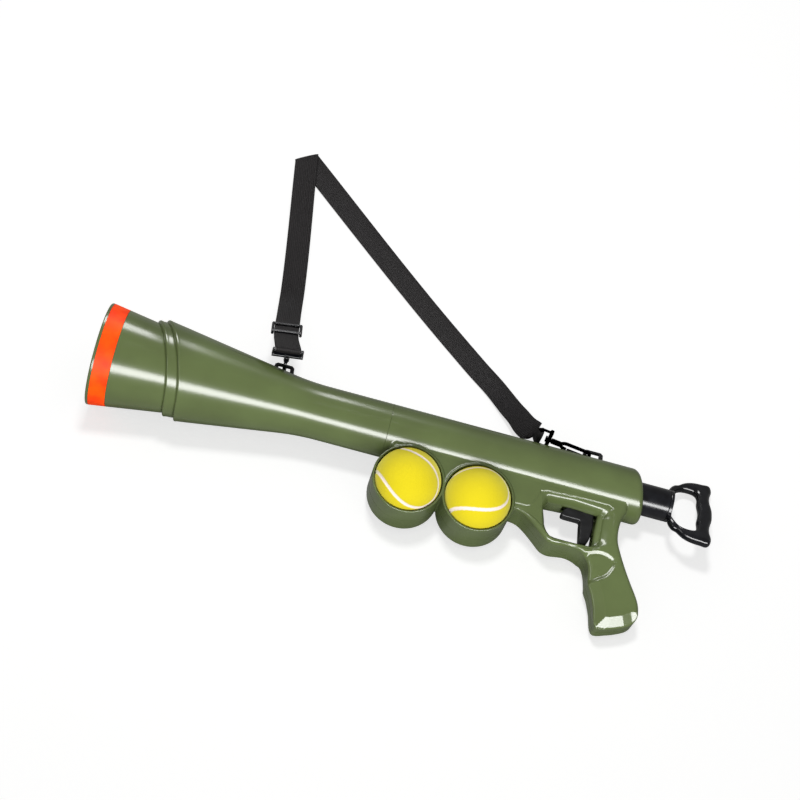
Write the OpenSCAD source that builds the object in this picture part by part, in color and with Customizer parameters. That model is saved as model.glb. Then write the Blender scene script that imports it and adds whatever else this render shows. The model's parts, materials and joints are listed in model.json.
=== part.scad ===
// Dog tennis ball launcher, lying on its right side with its strap laid out on the ground.
// Each rigid piece is drawn in the launcher's own axes and then laid down:
// x runs rearward from the mouth, y points to the top of the launcher, z to its left side.

/* [Bell and barrel] */
// Outer radius of the mouth where the cones start
mouth_r = 52.3; // [50:0.1:56]
// Fall of the front cone's radius for each mm of length
front_fall = 0.152; // [0.12:0.002:0.18]
// Outer radius of the straight barrel
barrel_r = 27.5; // [26:0.1:30]
// Fall of the long cone's radius for each mm of length
cone_fall = 0.151; // [0.13:0.001:0.17]
// Where the straight cone would meet the barrel
cone_end = 210; // [200:1:225]
// Radius of the long blend from the cone to the barrel
blend_r = 260; // [150:5:300]
// Body length on the axis, from the mouth to the slanted rear face
body_l = 556; // [552:0.5:562]
// Wall of the moulded shells
wall = 3; // [2.4:0.1:3.6]
// Where the first raised ring starts on the axis
ring_x = 63; // [58:0.5:68]
// Width of the first raised ring
ring_w = 10.3; // [8:0.1:13]
// Height of the first raised ring over the front cone
ring_h = 3.3; // [2:0.1:4]
// Slant of the rings and of the rear face
slant = 13.5; // [8:0.5:16]
// Where the round front barrel ends and the two half shells begin
joint_x = 296; // [290:0.5:300]
// Length of the barrel's spigot inside the half shells
spigot_l = 14; // [8:0.5:18]

/* [Muzzle ring and band] */
// Bore radius of the mouth
mouth_bore_r = 46; // [44:0.1:47]
// Length of the muzzle cap's sleeve
cap_l = 22; // [20.5:0.5:26]
// Thickness of the muzzle cap's sleeve
cap_t = 1.6; // [1.2:0.1:1.9]
// Width of the green lip in front of the band
lip_w = 3; // [2:0.5:5]
// Where the orange band ends
band_end = 19.5; // [16:0.5:20]

/* [Ball and cups] */
// Radius of a tennis ball
ball_r = 33.2; // [32.7:0.1:33.4]
// Bore radius of the cups and of the ball seat
cup_r = 33.8; // [33.7:0.1:34.4]
// Wall of the cups
cup_wall = 2.2; // [1.8:0.1:2.4]
// Half depth of the cups
cup_half = 22; // [21:0.5:24]
// Floor thickness of the cups
cup_floor = 2; // [1.5:0.1:3]
// Where the front cup's axis is
cup_x = 327; // [322:0.5:332]
// Distance between the cups' axes
cup_pitch = 70.6; // [70:0.1:71.6]
// Depth of the cups' axes under the barrel's axis
cup_y = 54; // [53:0.5:58]
// Front end of the ball seat
seat_x = 140; // [134:0.5:144]
// Length of the ball seat
seat_l = 8; // [5:0.5:10]

/* [Web and grip] */
// Half thickness of the web and trigger housing
web_half = 20; // [18:0.5:21.5]
// Half thickness at the bottom of the grip
grip_half = 16.5; // [15.5:0.5:18]
// Rounding of the web's and grip's edges
edge_r = 4; // [2:0.5:5]
// Front end of the web
web_x = 303; // [300:0.5:308]

/* [Barrel mechanism] */
// Outer radius of the guide tube
guide_r = 18.3; // [18:0.1:18.7]
// Wall of the guide tube
guide_wall = 1.5; // [1.4:0.1:1.8]
// Front end of the guide tube
guide_x = 168; // [166:0.5:172]
// Where the spring stop's front face is
stop_x = 432; // [428:0.5:434]
// Thickness of the spring stop
stop_t = 4; // [3:0.5:5]
// Rim radius of the spring stop
stop_r = 21.1; // [20.5:0.1:22]
// Length of the piston
piston_l = 22; // [16:0.5:26]
// Thickness of the piston's pad
pad_t = 3.3; // [2:0.1:4]
// Radius of the piston's pad
pad_r = 15; // [12:0.5:15.5]
// Radius of the plunger rod
rod_r = 5; // [4:0.1:5.5]
// Thickness of the rubber bumper
bumper_t = 4.7; // [3:0.1:6]
// Mean radius of the main spring
spring_r = 12.5; // [11:0.1:13]
// Wire radius of the main spring
spring_wire_r = 1.1; // [0.8:0.1:1.4]
// Turns of the main spring
spring_turns = 26; // [18:1:30]

/* [Pull tube and handle] */
// Outer radius of the pull tube
tube_r = 16.25; // [15.5:0.05:16.5]
// Wall of the pull tube
tube_wall = 2; // [1.5:0.1:2.5]
// How far the pull tube stands out behind the body at rest
tube_out = 31; // [26:0.5:36]
// Length of the rear bushing
bush_l = 4; // [3:0.1:4.5]
// Rim radius of the rear bushing
bush_r = 20.5; // [19.5:0.1:21]
// Half width of the D handle
handle_half = 48.5; // [42:0.5:52]
// Length of the D handle behind the pull tube
handle_l = 45; // [40:0.5:52]
// Thickness of the D handle
handle_t = 11; // [9:0.5:13]
// Roll of the D handle as it lies
handle_roll = 27; // [22:0.5:27]
// Radius of the handle's cross pin
handle_pin_r = 2; // [1.5:0.1:2.5]

/* [Trigger] */
// Where the trigger's pivot is, along the barrel
trigger_x = 497; // [495:0.5:499]
// Depth of the trigger's pivot
trigger_y = 27; // [26.5:0.5:28]
// Half width of the trigger
trigger_half = 5.5; // [4.5:0.1:6.5]
// Where the sear's pivot is, along the barrel
sear_x = 523; // [522:0.5:524]
// Depth of the sear's pivot
sear_y = 24; // [23.5:0.1:25]
// Half width of the sear
sear_half = 4; // [3:0.1:5]
// Radius of the trigger's and sear's pins
pin_r = 1.5; // [1.2:0.1:1.8]

/* [Screws] */
// Radius of the screws' shanks
screw_r = 1.35; // [1.2:0.05:1.5]
// Radius of the screws' heads
screw_head_r = 2.8; // [2.4:0.1:3.2]

/* [Strap] */
// Width of the webbing
web_w = 25; // [24:0.5:26]
// Thickness of the webbing
web_t = 1.6; // [1.2:0.1:1.8]
// Where the front strap eye is
eye_x = 180.5; // [176:0.5:186]
// Where the rear strap eye is
rear_eye_x = 503.5; // [500:0.5:508]
// Half width of the hooks' rings
hook_half = 7.5; // [7:0.1:8]
// Width of the hooks' ring section
hook_wire = 3.2; // [2.8:0.1:3.4]
// Distance between the hooks' ring centres
hook_span = 19; // [16:0.5:26]

/* [Hidden] */

// Clearances: between fixed pieces, in running fits and between faces that must not touch
fit = 0.05;
run = 0.06;
gap = 0.3;
far = 400;
round_fn = 96;

// Radii of the cones
function front_r(x) = mouth_r - front_fall * x;
function cone_r(x) = barrel_r + cone_fall * (cone_end - x);
lip_r = front_r(lip_w);

// Grip's slight taper: its half thickness falls along a line that leans back
grip_lean = 25;
grip_taper = 2.5;
grip_end = [540, -160];
function grip_half_at(p) = grip_half + ((p - grip_end) * [-sin(grip_lean), cos(grip_lean)]) * tan(grip_taper);

// Tilt of the launcher as it lies on the mouth's rim, the rear of the barrel and the grip's corner
grip_foot = [571.5, -137];
lay_pitch = atan((lip_r - barrel_r) / (body_l - lip_w));
floor_z = -lip_w * sin(lay_pitch) - lip_r * cos(lay_pitch);
foot_fall = -(floor_z + grip_foot[0] * sin(lay_pitch)) / cos(lay_pitch);
lay_roll = asin(foot_fall / norm([grip_foot[1], grip_half_at(grip_foot)])) - atan(-grip_half_at(grip_foot) / grip_foot[1]);

// Inner places
ring2_x = ring_x + ring_w;
blend_l = blend_r * tan(atan(cone_fall) / 2);
cap_sleeve_r = mouth_bore_r + cap_t;
guide_in = guide_r - guide_wall;
piston_x = guide_x + 4;
rod_x = piston_x + 6;
bumper_x = stop_x + stop_t;
tube_x = bumper_x + bumper_t + gap;
tube_cap = 5;
nut_x = tube_x + tube_cap + gap;
tube_end = body_l + tube_out;
nut_t = 5.6;
rod_end = nut_x + nut_t;
chamber_x = tube_x + 10;
chamber_end = body_l - 16;
bush_x = chamber_end + 3;
chamber_r = barrel_r - wall;
cup2_x = cup_x + cup_pitch;
handle_x = tube_end;

// Side outline of the web, trigger guard and grip, from the barrel round the grip and back
side = [[web_x, -8], [web_x, -40], [340, -60], [390, -62], [424, -55], [434, -54.5], [444, -56.3],
    [454, -62.7], [464, -71.2], [472, -77.8], [480, -79.8], [488, -78.8], [496, -77.8], [503, -78.6],
    [510, -81.4], [515.7, -87], [519.2, -96.3], [521.4, -109.5], [525.9, -118.5], [531, -133.2],
    [536, -150.2], [549, -148.7], [564, -142.5], [571.5, -137], [574.6, -130], [573.6, -120.3],
    [569.3, -110.6], [562.1, -99.1], [553.6, -84.6], [546.4, -70.6], [542, -60], [540.6, -50],
    [540.8, -42], [542, -34], [545, -26], [545, -8]];

// Trigger opening in the web
opening = [[467, -34.5], [519, -34.5], [523, -39], [523, -64], [519, -69], [512, -70.8], [480, -70.8],
    [474, -68.5], [469.5, -63], [467, -55]];

function unit(v) = v / norm(v);
function next(pts, i) = pts[(i + 1) % len(pts)];
function prev(pts, i) = pts[(i + len(pts) - 1) % len(pts)];

// Inward normal at a point of an outline that runs anticlockwise as seen from the left side
function inward(pts, i) = let (a = unit(pts[i] - prev(pts, i)), b = unit(next(pts, i) - pts[i]), t = unit(a + b))
    [-t[1], t[0]];
function inset(pts, d) = [for (i = [0 : len(pts) - 1]) pts[i] + d * inward(pts, i)];

// One point added in the middle of each side by a Catmull-Rom curve, where the corners are soft
function soften(pts, first, last) = [for (i = [0 : len(pts) - 1])
    each (i >= first && i < last) ?
        [pts[i], (9 * (pts[i] + next(pts, i)) - prev(pts, i) - pts[(i + 2) % len(pts)]) / 16] : [pts[i]]];
outline = soften(side, 5, 33);

// Lays a piece, or a point, down from the launcher's axes to the ground's
module lay() rotate([lay_roll, lay_pitch, 0]) children();
function laid(p) = let (u = sin(lay_roll) * p[1] + cos(lay_roll) * p[2])
    [cos(lay_pitch) * p[0] + sin(lay_pitch) * u, cos(lay_roll) * p[1] - sin(lay_roll) * p[2],
    cos(lay_pitch) * u - sin(lay_pitch) * p[0]];

// Solid of revolution about the barrel's axis from points of place and radius
module revolve(pts) rotate([0, 90, 0]) rotate_extrude($fn = round_fn) polygon([for (p = pts) [p[1], p[0]]]);
module tube(x0, x1, r0, r1) revolve([[x0, r0], [x0, r1], [x1, r1], [x1, r0]]);
module rod(x0, x1, r) translate([x0, 0, 0]) rotate([0, 90, 0]) cylinder(h = x1 - x0, r = r, $fn = round_fn);

// Everything behind a slanted plane that crosses the axis at x
module behind(x) translate([x, 0, 0]) rotate([0, 0, slant]) translate([0, -far, -far]) cube(2 * far);

// Long cone and barrel as one profile, moved inward by d
function blend_arc(d) = [for (a = [0 : 1 : 6]) let (t = atan(cone_fall) * (1 - a / 6))
    [cone_end + blend_l - blend_r * sin(t), barrel_r - d + blend_r * (1 - cos(t))]];
module long_form(x0, x1, d) revolve(concat([[x0, 0], [x0, cone_r(x0) - d]], blend_arc(d), [[x1, barrel_r - d], [x1, 0]]));
module front_form(x0, x1, d) revolve([[x0, 0], [x0, front_r(x0) - d], [x1, front_r(x1) - d], [x1, 0]]);

// Web and grip: the full outline inside, drawn in a little at both faces
module web_form() {
    translate([0, 0, edge_r / 2 - web_half]) linear_extrude(2 * web_half - edge_r) polygon(outline);
    translate([0, 0, -web_half]) linear_extrude(2 * web_half) polygon(inset(outline, edge_r / 4));
}

// Front barrel: the front cone, the raised ring and the long cone, with a spigot at its rear end
spigot_r = barrel_r - 3.3;
module barrel_form() {
    front_form(band_end, ring_x + 20, 0);
    intersection() {
        front_form(ring_x - 20, ring2_x + 22, -ring_h);
        behind(ring_x);
    }
    intersection() {
        long_form(ring_x - 10, joint_x, 0);
        behind(ring2_x);
    }
    rod(joint_x - 1, joint_x + spigot_l, spigot_r);
}

module outer_form() {
    difference() {
        rod(joint_x + fit, body_l + 30, barrel_r);
        behind(body_l);
    }
    for (x = [cup_x, cup2_x]) translate([x, -cup_y, -cup_half])
        cylinder(h = 2 * cup_half, r = cup_r + cup_wall, $fn = round_fn);
    difference() {
        web_form();
        for (s = [0, 1]) mirror([0, 0, s]) translate([grip_end[0], grip_end[1], grip_half]) rotate([0, 0, grip_lean])
            rotate([grip_taper, 0, 0]) translate([-80, -60, 0]) cube([160, 200, 40]);
    }
}

// All hollows round the axis in one profile: cap seat, bell, ball seat, funnel, guide tube seats,
// spring stop, pull tube guide, rear chamber and bushing seat
step_x = ring2_x + 13;
function front_in(x) = front_r(x) - wall;
function cone_in(x) = cone_r(x) - wall;
guide_seat = guide_r + fit;
module axis_hollow() revolve([[-1, 0], [-1, cap_sleeve_r + fit], [cap_l + gap, cap_sleeve_r + fit], [cap_l + gap, front_in(cap_l)],
    [step_x, front_in(step_x)], [step_x + 2, cone_in(step_x + 2)], [seat_x - 2, cone_in(seat_x - 2)], [seat_x, cup_r],
    [seat_x + seat_l, cup_r], [guide_x, guide_in], [guide_x, guide_seat], [guide_x + 5, guide_seat],
    [guide_x + 7, cone_in(guide_x + 7)], [204, cone_in(204)], [224, chamber_r], [224, guide_seat], [228, guide_seat],
    [228, chamber_r], [284, chamber_r], [284, guide_seat], [stop_x, guide_seat], [stop_x, stop_r + fit],
    [bumper_x, stop_r + fit], [bumper_x, tube_r + 1], [tube_x, tube_r + 1], [tube_x, tube_r + run], [chamber_x, tube_r + run],
    [chamber_x, chamber_r], [chamber_end, chamber_r], [chamber_end, tube_r + 0.7], [bush_x, tube_r + 0.7],
    [bush_x, bush_r + fit], [bush_x + bush_l, bush_r + fit], [bush_x + bush_l, tube_r + 0.7], [body_l + 30, tube_r + 0.7],
    [body_l + 30, 0]]);

// Room for the trigger and sear above the opening, and the hollow grip behind it
module trigger_hollow() {
    translate([458, -31.5, -17]) cube([82, 20, 34]);
    intersection() {
        translate([0, 0, -17]) linear_extrude(34) polygon(inset(outline, wall));
        translate([526, -95, -17]) cube([60, 67, 34]);
    }
    intersection() {
        translate([0, 0, -13]) linear_extrude(26) polygon(inset(outline, wall));
        translate([500, -170, -17]) cube([100, 77, 34]);
    }
    translate([0, 0, -web_half - 1]) linear_extrude(2 * web_half + 2) polygon(opening);
    for (s = [-1, 1]) translate([0, 0, s * (web_half + 8)]) linear_extrude(20, center = true) polygon(inset(opening, 2.5));
    translate([483, -40, -trigger_half - gap]) cube([40, 12, 2 * (trigger_half + gap)]);
}

screw_places = [[cup_x + cup_pitch / 2, -25.5], [442, -35], [479, -75.3], [532.5, -57], [529, -98], [556, -138]];
screw_half = [web_half, web_half, web_half, web_half, 19, grip_half];

// Bosses that hold the trigger's and sear's pins: place, low end and length; the torsion spring has its room
pin_bosses = [[trigger_x, -trigger_y, trigger_half + gap, 18 - trigger_half - gap], [trigger_x, -trigger_y, -18, 6.6],
    [sear_x, -sear_y, sear_half + gap, 18 - sear_half - gap], [sear_x, -sear_y, -18, 18 - sear_half - gap]];
module bosses() {
    for (i = [0 : 5]) translate([screw_places[i][0], screw_places[i][1], 0])
        cylinder(h = 2 * screw_half[i] - 5, r = 4, center = true, $fn = 32);
    for (p = pin_bosses) translate([p[0], p[1], p[2]]) cylinder(h = p[3], r = 4, $fn = 32);
    translate([sear_x + 8, -50, -18]) cube([8, 5, 36]);
}
module screw_holes() {
    for (i = [0 : 5]) translate([screw_places[i][0], screw_places[i][1], 0]) {
        translate([0, 0, -web_half - 1]) cylinder(h = web_half + 13, r = screw_r + fit, $fn = 32);
        translate([0, 0, -web_half - 1]) cylinder(h = 1 + web_half - screw_half[i] + 4, r = screw_head_r + 0.2, $fn = 32);
    }
    for (p = [[trigger_x, -trigger_y], [sear_x, -sear_y]])
        translate([p[0], p[1], -15]) cylinder(h = 30, r = pin_r + fit, $fn = 32);
}

// Slots in the top of the barrel for the stems of the strap eyes
stem_l = 12;
stem_half = 2;
module eye_slots() for (e = [[eye_x, cone_r(eye_x)], [rear_eye_x, barrel_r]])
    translate([e[0] - stem_l / 2 - fit, e[1] - 6, -stem_half - fit]) cube([stem_l + 2 * fit, 20, 2 * (stem_half + fit)]);

module front_barrel() color("olivedrab") lay() difference() {
    barrel_form();
    axis_hollow();
    eye_slots();
}

module body_form() difference() {
    union() {
        difference() {
            outer_form();
            axis_hollow();
            rod(joint_x - 1, joint_x + spigot_l + gap, spigot_r + fit);
            trigger_hollow();
        }
        bosses();
    }
    screw_holes();
    eye_slots();
    for (x = [cup_x, cup2_x]) translate([x, -cup_y, cup_floor - cup_half])
        cylinder(h = 2 * cup_half, r = cup_r, $fn = round_fn);
}

module left_shell() color("olivedrab") lay() intersection() {
    body_form();
    translate([-far, -far, 0]) cube([3 * far, 2 * far, far]);
}
module right_shell() color("darkolivegreen") lay() intersection() {
    body_form();
    translate([-far, -far, -far]) cube([3 * far, 2 * far, far]);
}

module muzzle_cap() color("olivedrab") lay() revolve([[0, mouth_bore_r], [0, lip_r - 1.2], [1.2, lip_r], [lip_w, lip_r],
    [lip_w, cap_sleeve_r], [cap_l, cap_sleeve_r], [cap_l, mouth_bore_r]]);
module muzzle_band() color("orangered") lay() revolve([[lip_w + fit, cap_sleeve_r + fit], [lip_w + fit, lip_r],
    [band_end - fit, front_r(band_end)], [band_end - fit, cap_sleeve_r + fit]]);

module shell_screws() color("silver") lay() for (i = [0 : 5]) translate([screw_places[i][0], screw_places[i][1], 0]) {
    translate([0, 0, 4 - screw_half[i]]) cylinder(h = 11 + screw_half[i] - 4, r = screw_r, $fn = 32);
    translate([0, 0, 4 - screw_half[i] - 2.4]) cylinder(h = 2.4, r = screw_head_r, $fn = 32);
}

module ball(x) color("yellow") lay() translate([x, -cup_y, cup_floor - cup_half + ball_r + gap]) sphere(r = ball_r, $fn = round_fn);
module front_ball() ball(cup_x);
module rear_ball() ball(cup2_x);

module guide_tube() color("gainsboro") lay() tube(guide_x + fit, stop_x - fit, guide_in, guide_r);

module piston() color("white") lay() difference() {
    revolve([[piston_x, 0], [piston_x, guide_in - run - 1], [piston_x + 1, guide_in - run], [piston_x + 7, guide_in - run],
        [piston_x + 7, guide_in - 3], [piston_x + 12, guide_in - 3], [piston_x + 12, guide_in - run],
        [piston_x + piston_l, guide_in - run], [piston_x + piston_l, 0]]);
    rod(rod_x - fit, piston_x + piston_l + 1, rod_r + fit);
}
module piston_pad() color("dimgray") lay() revolve([[piston_x - pad_t, 0], [piston_x - pad_t, pad_r - 1.5],
    [piston_x - pad_t + 1.5, pad_r], [piston_x, pad_r], [piston_x, 0]]);
module plunger_rod() color("silver") lay() {
    rod(rod_x, rod_end, rod_r);
    rod(tube_x - gap - 2.2, tube_x - gap, rod_r + 0.9);
}
module rod_nut() color("silver") lay() difference() {
    translate([nut_x, 0, 0]) rotate([0, 90, 0]) cylinder(h = nut_t - 0.4, r = 9.2, $fn = 6);
    rod(nut_x - 1, rod_end + 1, rod_r + fit);
}

// Wire along a path: six-sided rings square to the path, closed at both ends
function wire_ring(path, i, r, up) = let (
    t = unit(path[min(i + 1, len(path) - 1)] - path[max(i - 1, 0)]), a = unit(cross(up, t)), b = cross(t, a))
    [for (k = [0 : 5]) path[i] + r * (cos(60 * k) * a + sin(60 * k) * b)];
module wire(path, r, up) {
    n = len(path);
    points = [for (i = [0 : n - 1]) each wire_ring(path, i, r, up)];
    sides = [for (i = [0 : n - 2], k = [0 : 5]) let (a = i * 6 + k, b = i * 6 + (k + 1) % 6)
        each [[b, a, b + 6], [b + 6, a, a + 6]]];
    polyhedron(points, concat([[0, 1, 2, 3, 4, 5]], sides, [[for (k = [5 : -1 : 0]) (n - 1) * 6 + k]]));
}
// Helix of a spring along its own z axis, in 8 rings to a turn
function helix(r, length, turns) = [for (i = [0 : 8 * turns]) let (a = 45 * i) [r * cos(a), r * sin(a), length * i / (8 * turns)]];

spring_x0 = piston_x + piston_l + spring_wire_r + gap;
spring_x1 = stop_x - spring_wire_r - gap;
spring_path = helix(spring_r, spring_x1 - spring_x0, spring_turns);
echo(main_spring_least_gap = (spring_x1 - spring_x0) / spring_turns - 2 * spring_wire_r);
module main_spring() color("silver") lay() translate([spring_x0, 0, 0]) rotate([0, 90, 0]) wire(spring_path, spring_wire_r, [0, 0, 1]);

module spring_stop() color("gray") lay() tube(stop_x, stop_x + stop_t, rod_r + run, stop_r);
module bumper_ring() color("dimgray") lay() tube(bumper_x, bumper_x + bumper_t, rod_r + 1.2, tube_r - 1);
module rear_bushing() color("black") lay() tube(bush_x, bush_x + bush_l, tube_r + run, bush_r);

module roll_handle() rotate([-handle_roll, 0, 0]) children();
plug_l = 14;
pin_x = tube_end - 7;
pin_half = tube_r - 0.3;
module plunger_tube() color("black") lay() difference() {
    rod(tube_x, tube_end, tube_r);
    rod(tube_x + tube_cap, tube_end + 1, tube_r - tube_wall);
    rod(tube_x - 1, tube_x + tube_cap + 1, rod_r + run);
    roll_handle() translate([pin_x, 0, 0]) rotate([90, 0, 0]) cylinder(h = 60, r = handle_pin_r + fit, center = true, $fn = 32);
}

// Half of the D handle's outer and inner outlines, from the tube outward, then mirrored
handle_outer = [[0, 16], [2, 27.5], [8, 35.5], [14.5, 42.5], [21.5, 46.5], [29, 48.3], [38, 48.5], [43, 47.2], [45, 43.5],
    [45.3, 38], [44, 32], [43.4, 24], [44.4, 16], [46, 8], [46.3, 0]];
handle_inner = [[3.5, 0], [3.5, 14.5], [7.5, 23.5], [13.5, 30], [19, 32], [26, 31.5], [28.7, 28], [29.5, 22], [29, 15], [30, 7],
    [30.6, 0]];
function mirrored(pts) = concat(pts, [for (i = [len(pts) - 1 : -1 : 0]) if (pts[i][1] > 0) [pts[i][0], -pts[i][1]]]);
function scaled(pts) = [for (p = pts) [p[0] * handle_l / 45, p[1] * handle_half / 48.5]];
module pull_handle() color("black") lay() roll_handle() difference() {
    union() {
        translate([handle_x, 0, 0]) linear_extrude(handle_t, center = true) difference() {
            polygon(mirrored(scaled(handle_outer)));
            polygon(mirrored(scaled(handle_inner)));
        }
        rod(handle_x, handle_x + 3.5, tube_r);
        rod(handle_x - plug_l, handle_x + 1, tube_r - tube_wall - fit);
    }
    translate([pin_x, 0, 0]) rotate([90, 0, 0]) cylinder(h = 60, r = handle_pin_r + fit, center = true, $fn = 32);
}
module handle_pin() color("silver") lay() roll_handle() translate([pin_x, 0, 0]) rotate([90, 0, 0])
    cylinder(h = 2 * pin_half, r = handle_pin_r, center = true, $fn = 32);

trigger_side = [[-12.4, -15.4], [-12.4, -8.5], [-8, -3.5], [-4, 4.5], [2, 5], [8, 3.8], [12.6, 1.9], [16.4, 0.9], [17.6, -3], [19.2, -13],
    [19.8, -21.6], [18.6, -32], [15.5, -39.3], [10.5, -40], [8.3, -35], [6.2, -20], [4, -15.8]];
module trigger() color("black") lay() translate([trigger_x, -trigger_y, 0]) difference() {
    linear_extrude(2 * trigger_half, center = true) polygon(trigger_side);
    cylinder(h = 40, r = pin_r + fit, center = true, $fn = 32);
}
pin_half_l = 15;
module cross_pin(x, y) color("silver") lay() translate([x, y, 0]) cylinder(h = 2 * pin_half_l, r = pin_r, center = true, $fn = 32);
module trigger_pin() cross_pin(trigger_x, -trigger_y);
module sear_pin() cross_pin(sear_x, -sear_y);

// Torsion spring beside the trigger: a straight leg, the coil and a second leg
torsion_r = 2.9;
torsion_wire_r = 0.4;
torsion_path = concat([[-9, torsion_r, 0]], [for (i = [0 : 28]) let (a = 90 - 45 * i)
    [torsion_r * cos(a), torsion_r * sin(a), 1.3 * i / 28 * 3.5 / 1.3]], [[-torsion_r * 0.2, -4, 3.6]]);
module trigger_spring() color("silver") lay() translate([trigger_x, -trigger_y, -trigger_half - 5.2])
    translate([0, 0, 0.3]) wire(torsion_path, torsion_wire_r, [0, 0.05, 1]);

sear_side = [[-12.5, -0.8], [-12.5, 2.6], [-3, 4], [4, 4.6], [10, 7.35], [15, 7.35], [15, 0.5], [10, -3], [3, -4], [-3, -3.6]];
module sear() color("gray") lay() translate([sear_x, -sear_y, 0]) difference() {
    linear_extrude(2 * sear_half, center = true) polygon(sear_side);
    cylinder(h = 40, r = pin_r + fit, center = true, $fn = 32);
}
sear_spring_l = 45 - sear_y - 3.6;
module sear_spring() color("silver") lay() translate([sear_x + 12, -45 + 0.8, 0]) rotate([-90, 0, 0])
    wire(helix(2.2, sear_spring_l - 1.2, 6), 0.35, [0, 0, 1]);

// Strap eyes on the top of the barrel: staples whose bars run along it
eye_h = 9.3;
eye_bar = 2.5;
eye_foot = 1.4;
eye_half = 2.2;
module strap_eye(x, r) {
    translate([x, 0, 0]) linear_extrude(2 * eye_half, center = true) difference() {
        polygon([[-11, r - 1.5], [11, r - 1.5], [10, r + eye_h - 2], [7.5, r + eye_h], [-7.5, r + eye_h], [-10, r + eye_h - 2]]);
        polygon([[-6.5, r + eye_foot], [6.5, r + eye_foot], [6, r + eye_h - eye_bar], [-6, r + eye_h - eye_bar]]);
    }
}
module eye_stem(x, r) translate([x - stem_l / 2, r - 4.5, -stem_half]) cube([stem_l, 5.2, 2 * stem_half]);
module front_strap_eye() color("black") lay() {
    difference() {
        strap_eye(eye_x, cone_r(eye_x));
        long_form(140, 240, -fit);
    }
    eye_stem(eye_x, cone_r(eye_x));
}
module rear_strap_eye() color("black") lay() {
    difference() {
        strap_eye(rear_eye_x, barrel_r);
        rod(rear_eye_x - 20, rear_eye_x + 20, barrel_r + fit);
    }
    eye_stem(rear_eye_x, barrel_r);
}

// Snap hook in its own axes: x from the swivel to the nose, ring in the xy plane,
// and the middle of the nose's wire at the origin
hook_in = hook_half - hook_wire;
hook_c2 = -(hook_in + hook_wire / 2);
hook_c1 = hook_c2 - hook_span;
hook_t = 3.4;
neck_x = hook_c1 - hook_half - 9;
module stadium(r) {
    translate([hook_c1, 0]) circle(r = r, $fn = 64);
    translate([hook_c2, 0]) circle(r = r, $fn = 64);
    translate([hook_c1, -r]) square([hook_span, 2 * r]);
}
gate_x0 = hook_c1 + 1.5;
gate_x1 = hook_c2 - 0.6;
module hook() {
    linear_extrude(hook_t, center = true) difference() {
        stadium(hook_half);
        stadium(hook_in);
        translate([gate_x0 - gap, hook_in - 1]) square([gate_x1 - gate_x0 + 2 * gap, hook_wire + 2]);
    }
    translate([neck_x, 0, 0]) rotate([0, 90, 0]) cylinder(h = 10, r = 2.9, $fn = 32);
    translate([neck_x - 5, 0, 0]) rotate([0, 90, 0]) cylinder(h = 6, r = 2, $fn = 32);
    translate([neck_x - 6.2, 0, 0]) rotate([0, 90, 0]) cylinder(h = 1.6, r = 3.2, $fn = 32);
}
// Gate hinged at its swivel end; its hinge axis is the ring's normal
gate_r = hook_wire / 2 - gap;
module hook_gate() linear_extrude(hook_t - 0.8, center = true) translate([gate_x0 + gate_r, hook_in + hook_wire / 2]) {
    circle(r = gate_r, $fn = 32);
    translate([0, -gate_r]) square([gate_x1 - gate_x0 - gate_r, 2 * gate_r]);
}
// Loop that carries the webbing; its base turns on the hook's shank
loop_half = web_w / 2 + 3.2;
loop_bar_x = neck_x - 13;
loop_bar_r = 1.4;
module swivel_loop() difference() {
    union() {
        translate([neck_x - 4.4, -loop_half, -2.75]) cube([3.8, 2 * loop_half, 5.5]);
        for (s = [-1, 1]) translate([loop_bar_x, s * (loop_half - loop_bar_r), 0]) rotate([0, 90, 0]) cylinder(h = 10, r = loop_bar_r, $fn = 32);
        translate([loop_bar_x, 0, 0]) rotate([90, 0, 0]) cylinder(h = 2 * loop_half, r = loop_bar_r, center = true, $fn = 32);
    }
    translate([neck_x - 20, 0, 0]) rotate([0, 90, 0]) cylinder(h = 30, r = 2 + run, $fn = 32);
}

// Places of the two hooks: the front one has slipped down through its eye and hangs beside the barrel,
// the rear one is drawn out along the barrel with its nose against the front leg of its eye
front_ring_y = cone_r(eye_x) + 2.3 + hook_half;
front_ring_z = 3;
front_turn = 8;
nose_x = rear_eye_x - 3.4;
nose_y = barrel_r + 3.8;
rear_lean = 7.5;
rear_roll = 90;
loop_roll = -5;
module front_place() lay() translate([eye_x, front_ring_y, front_ring_z]) rotate([0, 90, 0]) translate([-hook_c1, 0, 0]) children();
module rear_place() lay() translate([nose_x, nose_y, 0]) rotate([rear_roll, 0, -rear_lean]) mirror([0, 1, 0]) children();
module front_hook() color("black") front_place() hook();
module front_hook_gate() color("silver") front_place() hook_gate();
module front_swivel_loop() color("black") front_place() rotate([90 - front_turn, 0, 0]) swivel_loop();
module rear_hook() color("black") rear_place() hook();
module rear_hook_gate() color("silver") rear_place() hook_gate();
module rear_swivel_loop() color("black") rear_place() rotate([-loop_roll, 0, 0]) swivel_loop();

// Slider on the front leg, in the ground's axes: two bars over the webbing and one under it
slider_at = [173.5, 72, floor_z + 61.5];
slider_turn = 7.5;
slider_tilt = -33;
slider_half = web_w / 2 + 3.1;
module strap_slider() color("black") translate(slider_at) rotate([0, 0, slider_turn]) rotate([slider_tilt, 0, 0]) {
    for (s = [-1, 1]) translate([s * (slider_half - 1.4) - 1.4, -10, -1.8]) cube([2.8, 20, 6]);
    for (y = [-10, 7]) translate([-slider_half, y, 1.75]) cube([2 * slider_half, 3, 2.45]);
    translate([-slider_half, -1.5, -1.8]) cube([2 * slider_half, 3, 1.5]);
}

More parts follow.
